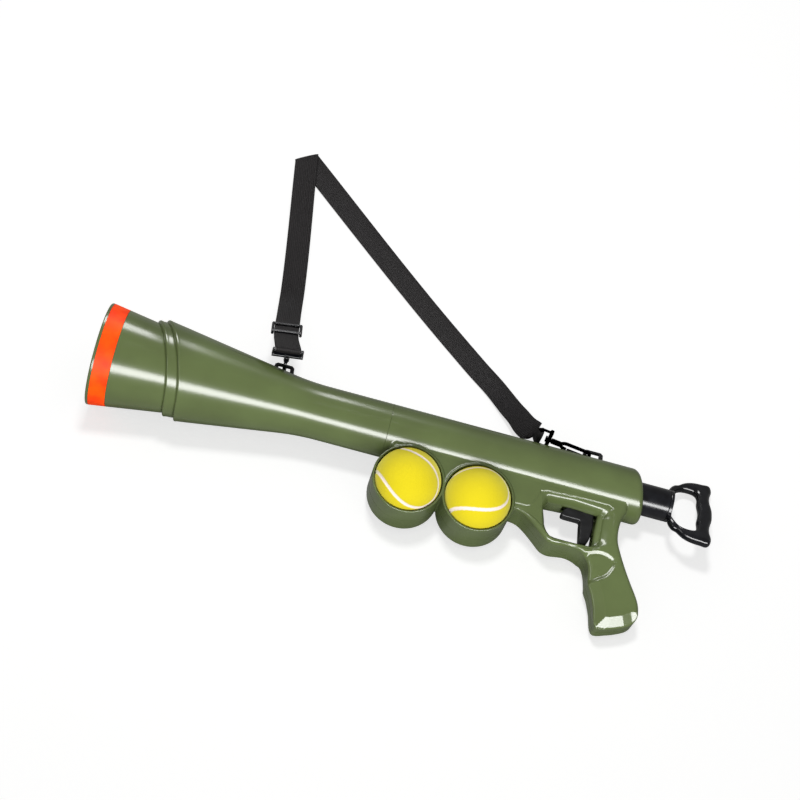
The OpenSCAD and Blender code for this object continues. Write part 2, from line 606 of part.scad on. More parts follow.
// Webbing as one ribbon. A station holds both edges' points and which way the ribbon's outer face looks:
// up on the front leg, outward at the fold, down on the rear leg. Its ends go round the loops' bars and
// lie back along the ribbon. Stations on the ground are given as edge places with a height each.
front_bar = [for (s = [-1, 1]) laid([eye_x + s * web_w / 2 * cos(front_turn), front_ring_y + s * web_w / 2 * sin(front_turn),
    front_ring_z + hook_c1 - loop_bar_x])];
rear_bar = [for (s = [1, -1]) let (y = -s * web_w / 2 * cos(rear_roll + loop_roll), z = -s * web_w / 2 * sin(rear_roll + loop_roll))
    laid([nose_x + loop_bar_x * cos(rear_lean) + y * sin(rear_lean),
    nose_y - loop_bar_x * sin(rear_lean) + y * cos(rear_lean), z])];
function on_ground(s, out) = [[s[0], s[1], s[2] + floor_z], [s[3], s[4], s[5] + floor_z], out];

bar_gap = (loop_bar_r + gap) / cos(22.5);
function mid(s) = (s[0] + s[1]) / 2;
function leaving(bar, next) = let (b = unit(bar[1] - bar[0]), d = mid(next) - mid(bar)) unit(d - (d * b) * b);
function face(bar, next) = unit(cross(bar[1] - bar[0], leaving(bar, next)));
function tail(bar, next, n) = [for (k = [0, 1]) 0.1 * (bar[k] + n * bar_gap) + 0.9 * next[k] - n * gap];
function round_bar(bar, next, n) = concat([[each tail(bar, next, n), -n]],
    [for (a = [0 : 45 : 180]) let (m = -n * cos(a) - leaving(bar, next) * sin(a)) [bar[0] + bar_gap * m, bar[1] + bar_gap * m, m]]);

up = [0, 0, 1];
front_leg = [for (s = [[162.4, 60.4, 68, 187.2, 63.6, 68], [159.8, 80.4, 55, 184.6, 83.6, 55],
    [157.6, 98.8, 38, 182.4, 101.3, 38], [154.6, 123.6, 16, 179.4, 126.5, 16], [152.6, 141.3, 5, 177.4, 144.7, 5],
    [151.1, 155.3, 2.2, 175.9, 158.7, 2.2], [126, 326, 2.2, 148.6, 340.5, 2.2]]) on_ground(s, up)];
fold = on_ground([125.7, 326.5, 2, 148.3, 341, 2], [-0.54, 0.84, 0]);
rear_leg = [for (s = [[126, 326, 1.8, 148.6, 340.5, 1.8], [291.6, 172.8, 1.8, 308.4, 191.3, 1.8],
    [361.6, 111.8, 1.8, 378.4, 130.3, 1.8], [388.3, 89.5, 2.6, 405.1, 108, 2.2], [403.9, 72.9, 5, 422.8, 89.3, 6],
    [414.6, 60.8, 9, 431.5, 79.5, 10.5], [422.9, 49.2, 12, 439.4, 68, 18], [431, 42.5, 15, 446, 59, 27],
    [436.5, 42, 17, 445.5, 51, 38.5], [441.4, 43.1, 22.5, 442.5, 41.3, 47.2]]) on_ground(s, -up)];
last = rear_leg[len(rear_leg) - 1];
rear_end = round_bar(rear_bar, last, -face(rear_bar, last));
web_route = concat(round_bar(front_bar, front_leg[0], face(front_bar, front_leg[0])), front_leg, [fold], rear_leg,
    [for (i = [len(rear_end) - 1 : -1 : 0]) rear_end[i]]);
module strap_webbing() color("black") {
    n = len(web_route);
    points = [for (s = web_route) let (t = web_t * s[2]) each [s[0], s[1], s[1] + t, s[0] + t]];
    sides = [for (i = [0 : n - 2], k = [0 : 3]) let (a = i * 4 + k, b = i * 4 + (k + 1) % 4)
        each [[a, b, b + 4], [a, b + 4, a + 4]]];
    polyhedron(points, concat([[3, 2, 1, 0]], sides, [[for (k = [0 : 3]) (n - 1) * 4 + k]]));
}

front_barrel();
left_shell();
right_shell();
muzzle_cap();
muzzle_band();
shell_screws();
front_ball();
rear_ball();
guide_tube();
piston();
piston_pad();
plunger_rod();
rod_nut();
main_spring();
spring_stop();
bumper_ring();
rear_bushing();
plunger_tube();
pull_handle();
handle_pin();
trigger();
trigger_pin();
trigger_spring();
sear();
sear_pin();
sear_spring();
front_strap_eye();
rear_strap_eye();
front_hook();
front_hook_gate();
front_swivel_loop();
rear_hook();
rear_hook_gate();
rear_swivel_loop();
strap_slider();
strap_webbing();
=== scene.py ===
# %% [markdown]
# # A dog's tennis ball launcher, dressed in Blender
# The launcher is a long olive tube that lies on its right side, with its strap laid out behind it.
# The CAD model already holds every part at its true size. This lesson gives the parts the soft edges,
# blends, felt, webbing and gloss that a machine drawing leaves out, in the same place and the same frame.

import json
import math

import bpy
import numpy as np
import openvdb
from mathutils import Matrix, Vector


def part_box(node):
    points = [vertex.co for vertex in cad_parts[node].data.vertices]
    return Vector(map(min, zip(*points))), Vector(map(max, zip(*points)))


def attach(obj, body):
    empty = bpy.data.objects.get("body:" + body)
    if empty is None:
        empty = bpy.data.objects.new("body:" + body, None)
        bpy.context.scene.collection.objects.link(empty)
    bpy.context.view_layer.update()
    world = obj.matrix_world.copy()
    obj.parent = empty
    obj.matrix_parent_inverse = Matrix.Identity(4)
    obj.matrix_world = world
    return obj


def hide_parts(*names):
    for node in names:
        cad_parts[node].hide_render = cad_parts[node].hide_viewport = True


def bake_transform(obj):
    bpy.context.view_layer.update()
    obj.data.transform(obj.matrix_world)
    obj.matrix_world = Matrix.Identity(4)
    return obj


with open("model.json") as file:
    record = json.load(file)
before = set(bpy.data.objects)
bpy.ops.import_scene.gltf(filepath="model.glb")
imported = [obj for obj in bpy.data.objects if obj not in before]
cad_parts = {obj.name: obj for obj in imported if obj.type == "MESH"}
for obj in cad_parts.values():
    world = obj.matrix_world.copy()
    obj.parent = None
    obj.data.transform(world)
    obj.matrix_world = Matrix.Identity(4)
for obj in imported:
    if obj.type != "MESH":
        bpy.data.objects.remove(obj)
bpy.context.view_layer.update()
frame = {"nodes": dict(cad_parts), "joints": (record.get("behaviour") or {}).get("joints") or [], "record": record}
nodes = frame["nodes"]

# %% [markdown]
# The launcher doesn't lie level: it rests on the wide mouth, so its barrel falls to the rear and rolls a
# little onto the grip. It is easier to shape a part in the launcher's own axes, in millimetres, and to lay
# it down at the end. The mouth's mount gives the barrel's axis and the ball's lift gives the side axis, so
# no angle is typed here.

# %% The launcher's own axes
mount = frame["record"]["mounts"][0]
along = -Vector(mount["axis"]).normalized()
sideways = Vector(next(j["axis"] for j in frame["joints"] if j["name"] == "front_ball_lift"))
topward = sideways.cross(along).normalized()
sideways = along.cross(topward).normalized()
AXES = np.array([along, topward, sideways], float)
GROUND = min(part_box("muzzle_cap")[0].z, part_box("strap_webbing")[0].z) * 1000


def lay_down(points):
    """Millimetres in the launcher's axes to metres in the frame."""
    return np.asarray(points, float) @ AXES / 1000


fall = math.degrees(math.asin(-along.z))
print("barrel falls", round(fall, 2), "degrees, floor at", round(GROUND, 2), "mm")

# %% [markdown]
# The camera comes first, because it decides what has to look right. It stands above the launcher and a
# little to the grip's side, a long way off, so the barrel hardly narrows. Its place and lens were found by
# matching the outlines of the mouth, barrel, cups and handle.

# %% Camera
EYE = np.array([231.33, -846.02, 1768.48])
AIM = np.array([301.06, 36.8, 0.0])
TILT = math.radians(15.06)
LENS = 88.43

forward = (AIM - EYE) / np.linalg.norm(AIM - EYE)
level = np.array([1.0, 0, 0]) - forward * forward[0]
level /= np.linalg.norm(level)
upright = np.cross(level, forward)
right = level * math.cos(TILT) + upright * math.sin(TILT)
up = upright * math.cos(TILT) - level * math.sin(TILT)
turn = np.array([right, up, -forward]) @ AXES
camera = bpy.data.objects.new("camera", bpy.data.cameras.new("camera"))
bpy.context.scene.collection.objects.link(camera)
place = Matrix([list(row) for row in turn.T]).to_4x4()
place.translation = Vector(lay_down(EYE))
camera.matrix_world = place
camera.data.lens = LENS
camera.data.clip_end = 20
bpy.context.scene.camera = camera
print("camera at", [round(c, 3) for c in place.translation])

# %% [markdown]
# ## Finishes
# A material is a small graph of nodes. One function adds a node, sets it and links it, and another turns a
# colour as a painter would name it, in sRGB hex, into the linear light that the renderer adds up.
# Every finish reads the object's own coordinates, which are metres, so a grain of 0.4 mm is a noise
# with a scale of about 1 / 0.0004.


# %% Node and colour helpers
def add_node(tree, kind, inputs=None, **settings):
    """A node of this kind, with its settings, and its inputs as numbers or as links from other nodes."""
    node = tree.nodes.new(kind)
    for name, value in settings.items():
        setattr(node, name, value)
    for name, value in (inputs or {}).items():
        if isinstance(value, bpy.types.NodeSocket):
            tree.links.new(value, node.inputs[name])
        else:
            node.inputs[name].default_value = value
    return node


def hex_colour(code):
    """sRGB hex to a linear colour, opaque."""
    parts = [int(code[i : i + 2], 16) / 255 for i in (0, 2, 4)]
    return [p / 12.92 if p <= 0.04045 else ((p + 0.055) / 1.055) ** 2.4 for p in parts] + [1.0]


def new_finish(name):
    """An empty material and its node tree."""
    material = bpy.data.materials.new(name)
    material.use_nodes = True
    material.node_tree.nodes.clear()
    return material, material.node_tree


def per_mm(size):
    """Texture scale for a feature of this many millimetres, in object coordinates of metres."""
    return 1000 / size


# %% [markdown]
# ### Olive ABS
# The shells are injection moulded ABS, dyed right through. The mould was spark eroded, which leaves a very
# fine grain: it spreads each highlight into a soft band but keeps it bright. The colour drifts a little
# where the plastic flowed. ABS has an index of refraction near 1.54. A satin moulding starts at a roughness
# near 0.35, and matching the narrow bright lines on the barrel brought it down to about 0.2. The real grain
# is about 0.1 mm, too fine to show, so it is drawn at 0.5 mm.

# %% Olive ABS
OLIVE_DARK = "3e4729"
OLIVE = "475230"

olive_abs, tree = new_finish("olive_abs_moulded")
spot = add_node(tree, "ShaderNodeTexCoord")
flow = add_node(
    tree, "ShaderNodeTexNoise", {"Vector": spot.outputs["Object"], "Scale": per_mm(60), "Detail": 3}
)
grain = add_node(
    tree, "ShaderNodeTexNoise", {"Vector": spot.outputs["Object"], "Scale": per_mm(0.5), "Detail": 2}
)
flow_tint = add_node(tree, "ShaderNodeValToRGB", {"Fac": flow.outputs["Fac"]})
flow_tint.color_ramp.elements[0].position = 0.3
flow_tint.color_ramp.elements[0].color = hex_colour(OLIVE_DARK)
flow_tint.color_ramp.elements[1].position = 0.75
flow_tint.color_ramp.elements[1].color = hex_colour(OLIVE)
shine = add_node(
    tree,
    "ShaderNodeMapRange",
    {"Value": grain.outputs["Fac"], "From Min": 0.3, "From Max": 0.7, "To Min": 0.17, "To Max": 0.24},
)
grit = add_node(
    tree, "ShaderNodeBump", {"Height": grain.outputs["Fac"], "Strength": 0.12, "Distance": 0.0001}
)
skin = add_node(
    tree,
    "ShaderNodeBsdfPrincipled",
    {
        "Base Color": flow_tint.outputs["Color"],
        "Roughness": shine.outputs["Result"],
        "Normal": grit.outputs["Normal"],
        "IOR": 1.54,
    },
)
add_node(tree, "ShaderNodeOutputMaterial", {"Surface": skin.outputs["BSDF"]})
print("olive ABS:", len(tree.nodes), "nodes")

# %% [markdown]
# ### Orange and black plastics
# The muzzle band is ABS dyed signal orange. It shows almost no highlight on the real object, so it is duller
# than the shells and its specular level is low. The trigger, eyes and sear are black nylon with a dull,
# slightly rubbed skin. The pull tube, handle, hooks and slider are
# black acetal from a polished mould, with a low roughness of 0.15 to 0.25 that gives small sharp lights.

# %% Orange ABS
orange_abs, tree = new_finish("orange_abs_moulded")
spot = add_node(tree, "ShaderNodeTexCoord")
flow = add_node(
    tree, "ShaderNodeTexNoise", {"Vector": spot.outputs["Object"], "Scale": per_mm(18), "Detail": 4}
)
tint = add_node(tree, "ShaderNodeValToRGB", {"Fac": flow.outputs["Fac"]})
tint.color_ramp.elements[0].position = 0.35
tint.color_ramp.elements[0].color = hex_colour("c92c00")
tint.color_ramp.elements[1].position = 0.7
tint.color_ramp.elements[1].color = hex_colour("dc4400")
grain = add_node(tree, "ShaderNodeTexNoise", {"Vector": spot.outputs["Object"], "Scale": per_mm(0.6)})
grit = add_node(
    tree, "ShaderNodeBump", {"Height": grain.outputs["Fac"], "Strength": 0.08, "Distance": 0.0001}
)
skin = add_node(
    tree,
    "ShaderNodeBsdfPrincipled",
    {
        "Base Color": tint.outputs["Color"],
        "Roughness": 0.5,
        "Normal": grit.outputs["Normal"],
        "IOR": 1.46,
        "Specular IOR Level": 0.15,
    },
)
add_node(tree, "ShaderNodeOutputMaterial", {"Surface": skin.outputs["BSDF"]})


# %% Black nylon and black acetal
def black_plastic(name, dark, pale, low, high, grain_mm, depth):
    """A dyed black plastic: two near blacks, a range of roughness and a grain."""
    material, tree = new_finish(name)
    spot = add_node(tree, "ShaderNodeTexCoord")
    cloud = add_node(
        tree, "ShaderNodeTexNoise", {"Vector": spot.outputs["Object"], "Scale": per_mm(9), "Detail": 5}
    )
    tint = add_node(tree, "ShaderNodeValToRGB", {"Fac": cloud.outputs["Fac"]})
    tint.color_ramp.elements[0].position = 0.35
    tint.color_ramp.elements[0].color = hex_colour(dark)
    tint.color_ramp.elements[1].position = 0.75
    tint.color_ramp.elements[1].color = hex_colour(pale)
    shine = add_node(
        tree,
        "ShaderNodeMapRange",
        {"Value": cloud.outputs["Fac"], "From Min": 0.3, "From Max": 0.7, "To Min": low, "To Max": high},
    )
    grain = add_node(
        tree, "ShaderNodeTexNoise", {"Vector": spot.outputs["Object"], "Scale": per_mm(grain_mm)}
    )
    grit = add_node(
        tree, "ShaderNodeBump", {"Height": grain.outputs["Fac"], "Strength": depth, "Distance": 0.0001}
    )
    skin = add_node(
        tree,
        "ShaderNodeBsdfPrincipled",
        {
            "Base Color": tint.outputs["Color"],
            "Roughness": shine.outputs["Result"],
            "Normal": grit.outputs["Normal"],
            "IOR": 1.5,
        },
    )
    add_node(tree, "ShaderNodeOutputMaterial", {"Surface": skin.outputs["BSDF"]})
    return material


black_nylon = black_plastic("black_nylon_moulded", "09090a", "111113", 0.35, 0.50, 0.5, 0.25)
black_acetal = black_plastic("black_acetal_polished", "050507", "0d0e12", 0.14, 0.24, 3.0, 0.06)
dark_rubber = black_plastic("nitrile_rubber_moulded", "1b1b1b", "282827", 0.65, 0.85, 0.4, 0.35)

# %% [markdown]
# ### Steel and white nylon
# Screws, pins, gates and springs are zinc plated steel: a metal, so its colour is its reflection, and a
# fine drawn grain breaks that up. The guide tube and the piston are undyed nylon, which lets a
# little light in and so looks milky.

# %% Zinc plated steel
zinc_steel, tree = new_finish("zinc_plated_steel_drawn")
spot = add_node(tree, "ShaderNodeTexCoord")
haze = add_node(
    tree, "ShaderNodeTexNoise", {"Vector": spot.outputs["Object"], "Scale": per_mm(2), "Detail": 6}
)
shine = add_node(
    tree,
    "ShaderNodeMapRange",
    {"Value": haze.outputs["Fac"], "From Min": 0.3, "From Max": 0.7, "To Min": 0.22, "To Max": 0.42},
)
tint = add_node(tree, "ShaderNodeValToRGB", {"Fac": haze.outputs["Fac"]})
tint.color_ramp.elements[0].color = hex_colour("9a9ea3")
tint.color_ramp.elements[1].color = hex_colour("c9cccf")
skin = add_node(
    tree,
    "ShaderNodeBsdfPrincipled",
    {"Base Color": tint.outputs["Color"], "Metallic": 1.0, "Roughness": shine.outputs["Result"]},
)
add_node(tree, "ShaderNodeOutputMaterial", {"Surface": skin.outputs["BSDF"]})

# %% [markdown]
# The undyed nylon is off-white. It scatters a little of the light under its skin, and the turning tool left
# faint rings about 1 mm apart.

# %% Undyed nylon
white_nylon, tree = new_finish("undyed_nylon_turned")
spot = add_node(tree, "ShaderNodeTexCoord")
haze = add_node(
    tree, "ShaderNodeTexNoise", {"Vector": spot.outputs["Object"], "Scale": per_mm(5), "Detail": 4}
)
tint = add_node(tree, "ShaderNodeValToRGB", {"Fac": haze.outputs["Fac"]})
tint.color_ramp.elements[0].color = hex_colour("cfcdc2")
tint.color_ramp.elements[1].color = hex_colour("e4e3da")
rings = add_node(tree, "ShaderNodeTexWave", {"Vector": spot.outputs["Object"], "Scale": per_mm(1.2) / 20})
grit = add_node(tree, "ShaderNodeBump", {"Height": rings.outputs["Fac"], "Strength": 0.1, "Distance": 0.0001})
skin = add_node(
    tree,
    "ShaderNodeBsdfPrincipled",
    {
        "Base Color": tint.outputs["Color"],
        "Roughness": 0.38,
        "Normal": grit.outputs["Normal"],
        "IOR": 1.53,
        "Subsurface Weight": 0.15,
        "Subsurface Scale": 0.002,
    },
)
add_node(tree, "ShaderNodeOutputMaterial", {"Surface": skin.outputs["BSDF"]})

# %% [markdown]
# ### Tennis felt
# A tennis ball is covered with wool and nylon felt, needled and dyed optic yellow. Its fibres stand up, so
# it has no highlight but a pale sheen at grazing angles. The fibres are 0.02 mm thick and lie in tufts of
# about 1 mm, which is what shows. The seam is a pale rubber glue, about 3 mm wide: each ball carries the
# distance to its seam as an attribute, in millimetres, and the material turns that into the stripe.

# %% Felt with its seam
tennis_felt, tree = new_finish("tennis_felt_needled")
spot = add_node(tree, "ShaderNodeTexCoord")
tufts = add_node(
    tree, "ShaderNodeTexNoise", {"Vector": spot.outputs["Object"], "Scale": per_mm(1.6), "Detail": 6}
)
patch = add_node(
    tree, "ShaderNodeTexNoise", {"Vector": spot.outputs["Object"], "Scale": per_mm(14), "Detail": 3}
)
mixed = add_node(
    tree, "ShaderNodeMath", {0: tufts.outputs["Fac"], 1: patch.outputs["Fac"]}, operation="ADD"
)
tint = add_node(tree, "ShaderNodeValToRGB", {"Fac": mixed.outputs["Value"]})
tint.color_ramp.elements[0].position = 0.35
tint.color_ramp.elements[0].color = hex_colour("8f8200")
tint.color_ramp.elements[1].position = 0.72
tint.color_ramp.elements[1].color = hex_colour("a39504")
seam = add_node(tree, "ShaderNodeAttribute", attribute_name="seam_mm")
ragged = add_node(
    tree,
    "ShaderNodeMath",
    {0: tufts.outputs["Fac"], 1: 1.2, 2: seam.outputs["Fac"]},
    operation="MULTIPLY_ADD",
)
stripe = add_node(
    tree,
    "ShaderNodeMapRange",
    {"Value": ragged.outputs["Value"], "From Min": 1.9, "From Max": 2.7, "To Min": 1.0, "To Max": 0.0},
)
coloured = add_node(tree, "ShaderNodeMix", data_type="RGBA")
tree.links.new(stripe.outputs["Result"], coloured.inputs["Factor"])
tree.links.new(tint.outputs["Color"], coloured.inputs["A"])
coloured.inputs["B"].default_value = hex_colour("b8aca6")
fuzz = add_node(tree, "ShaderNodeBump", {"Height": tufts.outputs["Fac"], "Strength": 0.5, "Distance": 0.0006})
skin = add_node(
    tree,
    "ShaderNodeBsdfPrincipled",
    {
        "Base Color": coloured.outputs["Result"],
        "Roughness": 0.9,
        "Normal": fuzz.outputs["Normal"],
        "Specular IOR Level": 0.2,
        "Sheen Weight": 0.35,
        "Sheen Roughness": 0.5,
        "Sheen Tint": hex_colour("f6ff9a"),
    },
)
add_node(tree, "ShaderNodeOutputMaterial", {"Surface": skin.outputs["BSDF"]})
print("felt:", len(tree.nodes), "nodes")

# %% [markdown]
# ### Polypropylene webbing
# The strap is woven from flat black yarns in a ribbed weave, with ribs across the strap about 1.7 mm apart
# and a firm selvedge. The strap carries its own length and width as attributes, so that the weave
# follows it through the fold and the twist. The crests of the ribs are painted a little lighter than the black:
# a painted highlight for the fine sparkle the ribs catch. Ribs of 1.7 mm are near a pixel in the full view.

# %% Woven webbing
RIB_MM = 1.7
YARN_MM = 1.9

woven_strap, tree = new_finish("polypropylene_webbing_woven")
run = add_node(tree, "ShaderNodeAttribute", attribute_name="run_mm")
across = add_node(tree, "ShaderNodeAttribute", attribute_name="across_mm")
run_turns = add_node(
    tree, "ShaderNodeMath", {0: run.outputs["Fac"], 1: 2 * math.pi / RIB_MM}, operation="MULTIPLY"
)
yarn_turns = add_node(
    tree, "ShaderNodeMath", {0: across.outputs["Fac"], 1: 2 * math.pi / YARN_MM}, operation="MULTIPLY"
)
yarn_wave = add_node(tree, "ShaderNodeMath", {0: yarn_turns.outputs["Value"]}, operation="SINE")
shifted = add_node(
    tree, "ShaderNodeMath", {0: yarn_wave.outputs["Value"], 1: 1.5, 2: run_turns.outputs["Value"]},
    operation="MULTIPLY_ADD",
)
rib_wave = add_node(tree, "ShaderNodeMath", {0: shifted.outputs["Value"]}, operation="SINE")
weave = add_node(
    tree, "ShaderNodeMath", {0: rib_wave.outputs["Value"], 1: yarn_wave.outputs["Value"]}, operation="ADD"
)
spot = add_node(tree, "ShaderNodeTexCoord")
lint = add_node(
    tree, "ShaderNodeTexNoise", {"Vector": spot.outputs["Object"], "Scale": per_mm(1.1), "Detail": 4}
)
# Painted highlight: the colour is lighter on the crests of the weave, standing for the light the ribs catch; the
# lint noise adds random tone.
rib_highlight_and_lint = add_node(
    tree,
    "ShaderNodeMath",
    {0: weave.outputs["Value"], 1: 0.22, 2: lint.outputs["Fac"]},
    operation="MULTIPLY_ADD",
)
tint = add_node(tree, "ShaderNodeValToRGB", {"Fac": rib_highlight_and_lint.outputs["Value"]})
tint.color_ramp.elements[0].position = 0.35
tint.color_ramp.elements[0].color = hex_colour("050404")
tint.color_ramp.elements[1].position = 0.95
tint.color_ramp.elements[1].color = hex_colour("1f1c1d")
relief = add_node(
    tree, "ShaderNodeBump", {"Height": weave.outputs["Value"], "Strength": 0.7, "Distance": 0.0002}
)
skin = add_node(
    tree,
    "ShaderNodeBsdfPrincipled",
    {
        "Base Color": tint.outputs["Color"],
        "Roughness": 0.55,
        "Normal": relief.outputs["Normal"],
        "IOR": 1.49,
        "Specular IOR Level": 0.18,
    },
)
add_node(tree, "ShaderNodeOutputMaterial", {"Surface": skin.outputs["BSDF"]})
print("webbing ribs every", RIB_MM, "mm")


# %% [markdown]
# ## Making meshes
# Three ways of making a surface are enough here. Round parts are turned on a lathe from a profile. Moulded
# parts are described by a distance field: a formula that says how far a point is from the surface, which
# makes fillets and rounded cuts easy. Cloth is a ribbon swept along its route. This cell turns points and
# faces into a piece that rides on a body of the CAD model.


# %% A new piece
def new_piece(name, points, faces, body, replaced, finish, normals=None, crease=None):
    """A mesh object in the frame, with its finish, riding on its body and standing for its CAD nodes."""
    mesh = bpy.data.meshes.new(name)
    mesh.from_pydata(points, [], faces)
    mesh.materials.append(finish)
    mesh.shade_smooth()
    if crease is not None:
        mesh.set_sharp_from_angle(angle=math.radians(crease))
    if normals is not None:
        mesh.normals_split_custom_set_from_vertices(normals)
    piece = bpy.data.objects.new(name, mesh)
    bpy.context.scene.collection.objects.link(piece)
    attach(piece, body)
    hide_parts(*replaced)
    print(name, "has", len(mesh.vertices), "points")
    return piece


def store(piece, name, values):
    """Keeps one number for each point of a piece, for its material to read."""
    layer = piece.data.attributes.new(name, "FLOAT", "POINT")
    layer.data.foreach_set("value", np.asarray(values, np.float32))


# %% [markdown]
# ### The lathe
# A turned part is a closed profile of places and radii, swept round the barrel's axis. The two raised rings
# of the muzzle lie on slanted planes that meet at the parting line, so a station can lean: its place then
# depends on how high and how far out it is on the barrel, and its radius is read from the cone there.

# %% Lathe
LATHE_STEPS = 240
LEAN_DOWN = 0.34
LEAN_OUT = 0.22
LEAN_SOFT = 25


def turned(name, stations, body, replaced, finish, crease=32):
    """Sweeps stations of place, radius (a number or a cone) with its offset, and lean round the axis."""
    angle = np.linspace(0, 2 * math.pi, LATHE_STEPS, endpoint=False)
    rows = []
    for x, radius, offset, lean in stations:
        size = radius(x) if callable(radius) else radius
        out = np.hypot(size * np.sin(angle), LEAN_SOFT) - LEAN_SOFT
        at = x - lean * (LEAN_DOWN * size * np.cos(angle) - LEAN_OUT * out)
        r = (radius(at) if callable(radius) else radius + 0 * at) + offset
        rows.append(np.stack([at, r * np.cos(angle), r * np.sin(angle)], 1))
    count = len(rows)
    i, k = np.meshgrid(np.arange(count), np.arange(LATHE_STEPS), indexing="ij")
    j, m = (i + 1) % count, (k + 1) % LATHE_STEPS
    quads = np.stack([i * LATHE_STEPS + k, i * LATHE_STEPS + m, j * LATHE_STEPS + m, j * LATHE_STEPS + k], 2)
    points = lay_down(np.concatenate(rows))
    return new_piece(name, points, quads.reshape(-1, 4), body, replaced, finish, crease=crease)


# %% [markdown]
# ### Distance fields
# A field is negative inside the part. Two fields join with min and cut with max. With a radius, the sharp
# edge between them becomes an arc: round_or makes the fillet in an inner corner, round_and the rounding of
# an outer edge. An outline drawn as a polygon gives a flat field, which is worked out once on a fine
# table and then looked up.


# %% Rounded joins and cuts
def round_and(a, b, radius):
    """Inside both a and b, with a rounded outer edge."""
    inner = np.minimum(np.maximum(a, b), -radius)
    return inner + np.hypot(np.maximum(a + radius, 0), np.maximum(b + radius, 0))


def round_or(a, b, radius):
    """Inside a or b, with a fillet in the corner."""
    return -round_and(-a, -b, radius)


def ramp(value, low, high):
    """0 below low, 1 above high, and smooth in between."""
    t = np.clip((value - low) / (high - low), 0, 1)
    return t * t * (3 - 2 * t)


# %% [markdown]
# A side outline is a list of corners, in millimetres. Each pass of softened puts a new point in the middle of
# every side, on a cubic through its four neighbours, so a few corners give a smooth moulded line. The
# distance to it is the nearest side's, and its sign comes from counting the sides to one hand.

# %% Outlines
def softened(points, rounds=2, hard=()):
    """Adds a point in the middle of each side, on a smooth curve through its neighbours."""
    pts = np.array(points, float)
    keep = np.array([i in hard for i in range(len(pts))])
    for _ in range(rounds):
        before, after, later = np.roll(pts, 1, 0), np.roll(pts, -1, 0), np.roll(pts, -2, 0)
        middle = (9 * (pts + after) - before - later) / 16
        straight = keep | np.roll(keep, -1)
        middle[straight] = ((pts + after) / 2)[straight]
        pts = np.stack([pts, middle], 1).reshape(-1, 2)
        keep = np.stack([keep, np.zeros_like(keep)], 1).reshape(-1)
    return pts


def outline_distance(points, x, y):
    """Signed distance from flat points to a closed outline, negative inside."""
    pts = np.asarray(points, float)
    near = np.full(x.shape, 1e9)
    inside = np.zeros(x.shape, bool)
    for (ax, ay), (bx, by) in zip(pts, np.roll(pts, -1, 0)):
        dx, dy = bx - ax, by - ay
        t = np.clip(((x - ax) * dx + (y - ay) * dy) / (dx * dx + dy * dy + 1e-12), 0, 1)
        near = np.minimum(near, (x - ax - t * dx) ** 2 + (y - ay - t * dy) ** 2)
        crosses = (ay > y) != (by > y)
        inside ^= crosses & (x < ax + (y - ay) * dx / (dy + 1e-12 * (dy == 0)))
    return np.where(inside, -1, 1) * np.sqrt(near)


def outline_field(points, margin=14, step=0.4):
    """A function of x and y that looks up the distance to an outline on a fine table."""
    pts = np.asarray(points, float)
    low = pts.min(0) - margin
    size = np.ceil((pts.max(0) + margin - low) / step).astype(int)
    ticks = [low[i] + step * np.arange(size[i]) for i in (0, 1)]
    gx, gy = np.meshgrid(*ticks, indexing="ij")
    table = outline_distance(pts, gx, gy)

    def look_up(x, y):
        u = np.clip((x - low[0]) / step, 0, size[0] - 1.001)
        v = np.clip((y - low[1]) / step, 0, size[1] - 1.001)
        i, j = u.astype(int), v.astype(int)
        u, v = u - i, v - j
        return (
            table[i, j] * (1 - u) * (1 - v)
            + table[i + 1, j] * u * (1 - v)
            + table[i, j + 1] * (1 - u) * v
            + table[i + 1, j + 1] * u * v
        )

    return look_up


# %% [markdown]
# A volume grid samples the field, OpenVDB finds the surface as four-sided faces, and each point is then
# moved along the field's slope until it lies on the true surface. The slope is also the exact normal, so
# edges shade as smoothly as a moulding.


# %% From field to surface
def slope(field, p, reach):
    """Direction in which the field grows, at each point."""
    parts = []
    for axis in np.eye(3) * reach:
        ahead, behind = (p + axis).T, (p - axis).T
        parts.append(field(*ahead) - field(*behind))
    g = np.stack(parts, 1)
    return g / np.maximum(np.linalg.norm(g, axis=1, keepdims=True), 1e-9)


def surface_of(field, low, high, step, polish=3):
    """Points, faces and normals of the surface where the field is zero."""
    ticks = [np.arange(a, b + step, step) for a, b in zip(low, high)]
    x, y, z = np.meshgrid(*ticks, indexing="ij", sparse=True)
    values = np.ascontiguousarray(np.broadcast_to(field(x, y, z), [len(t) for t in ticks]), np.float32)
    grid = openvdb.FloatGrid(float(step * 4))
    grid.copyFromArray(np.clip(values, -3 * step, 3 * step))
    found, quads = grid.convertToQuads(isovalue=0.0)
    p = np.array(found, float) * step + np.array([t[0] for t in ticks])
    for _ in range(polish):
        n = slope(field, p, step * 0.2)
        p -= n * np.clip(field(*p.T), -step, step)[:, None]
    n = slope(field, p, step * 0.3)
    quads = np.array(quads, int)
    a, b, c = (p[quads[:, i]] for i in range(3))
    facing = np.einsum("ij,ij->i", np.cross(b - a, c - a), n[quads[:, 0]])
    if facing.sum() < 0:
        quads = quads[:, ::-1]
    return p, quads, n


def moulded(name, field, low, high, step, body, replaced, slot, finish, to_ground=lay_down):
    """A piece whose surface is where a field is zero."""
    p, quads, n = surface_of(field, low, high, step)
    turned_n = to_ground(n) - to_ground(np.zeros((1, 3)))
    turned_n /= np.linalg.norm(turned_n, axis=1, keepdims=True)
    return new_piece(name, to_ground(p), quads, body, replaced, finish, normals=turned_n)


# %% [markdown]
# ## The front barrel
# The muzzle is a long bell: a short cone at the front, a collar with two raised steps, and a long cone
# that runs out into the straight barrel. Inside is the seat that holds the ball. It is a
# turned form, so it comes from the lathe, with extra stations close to each step so that its edges catch a
# thin line of light as the moulding does.

# %% Cones
MOUTH_R = 52.3
FRONT_FALL = 0.152
BARREL_R = 27.5
CONE_FALL = 0.151
CONE_END = 210
BLEND_R = 260
LIP = 3
BAND_END = 19.5
JOINT_X = 296
BORE_R = 46

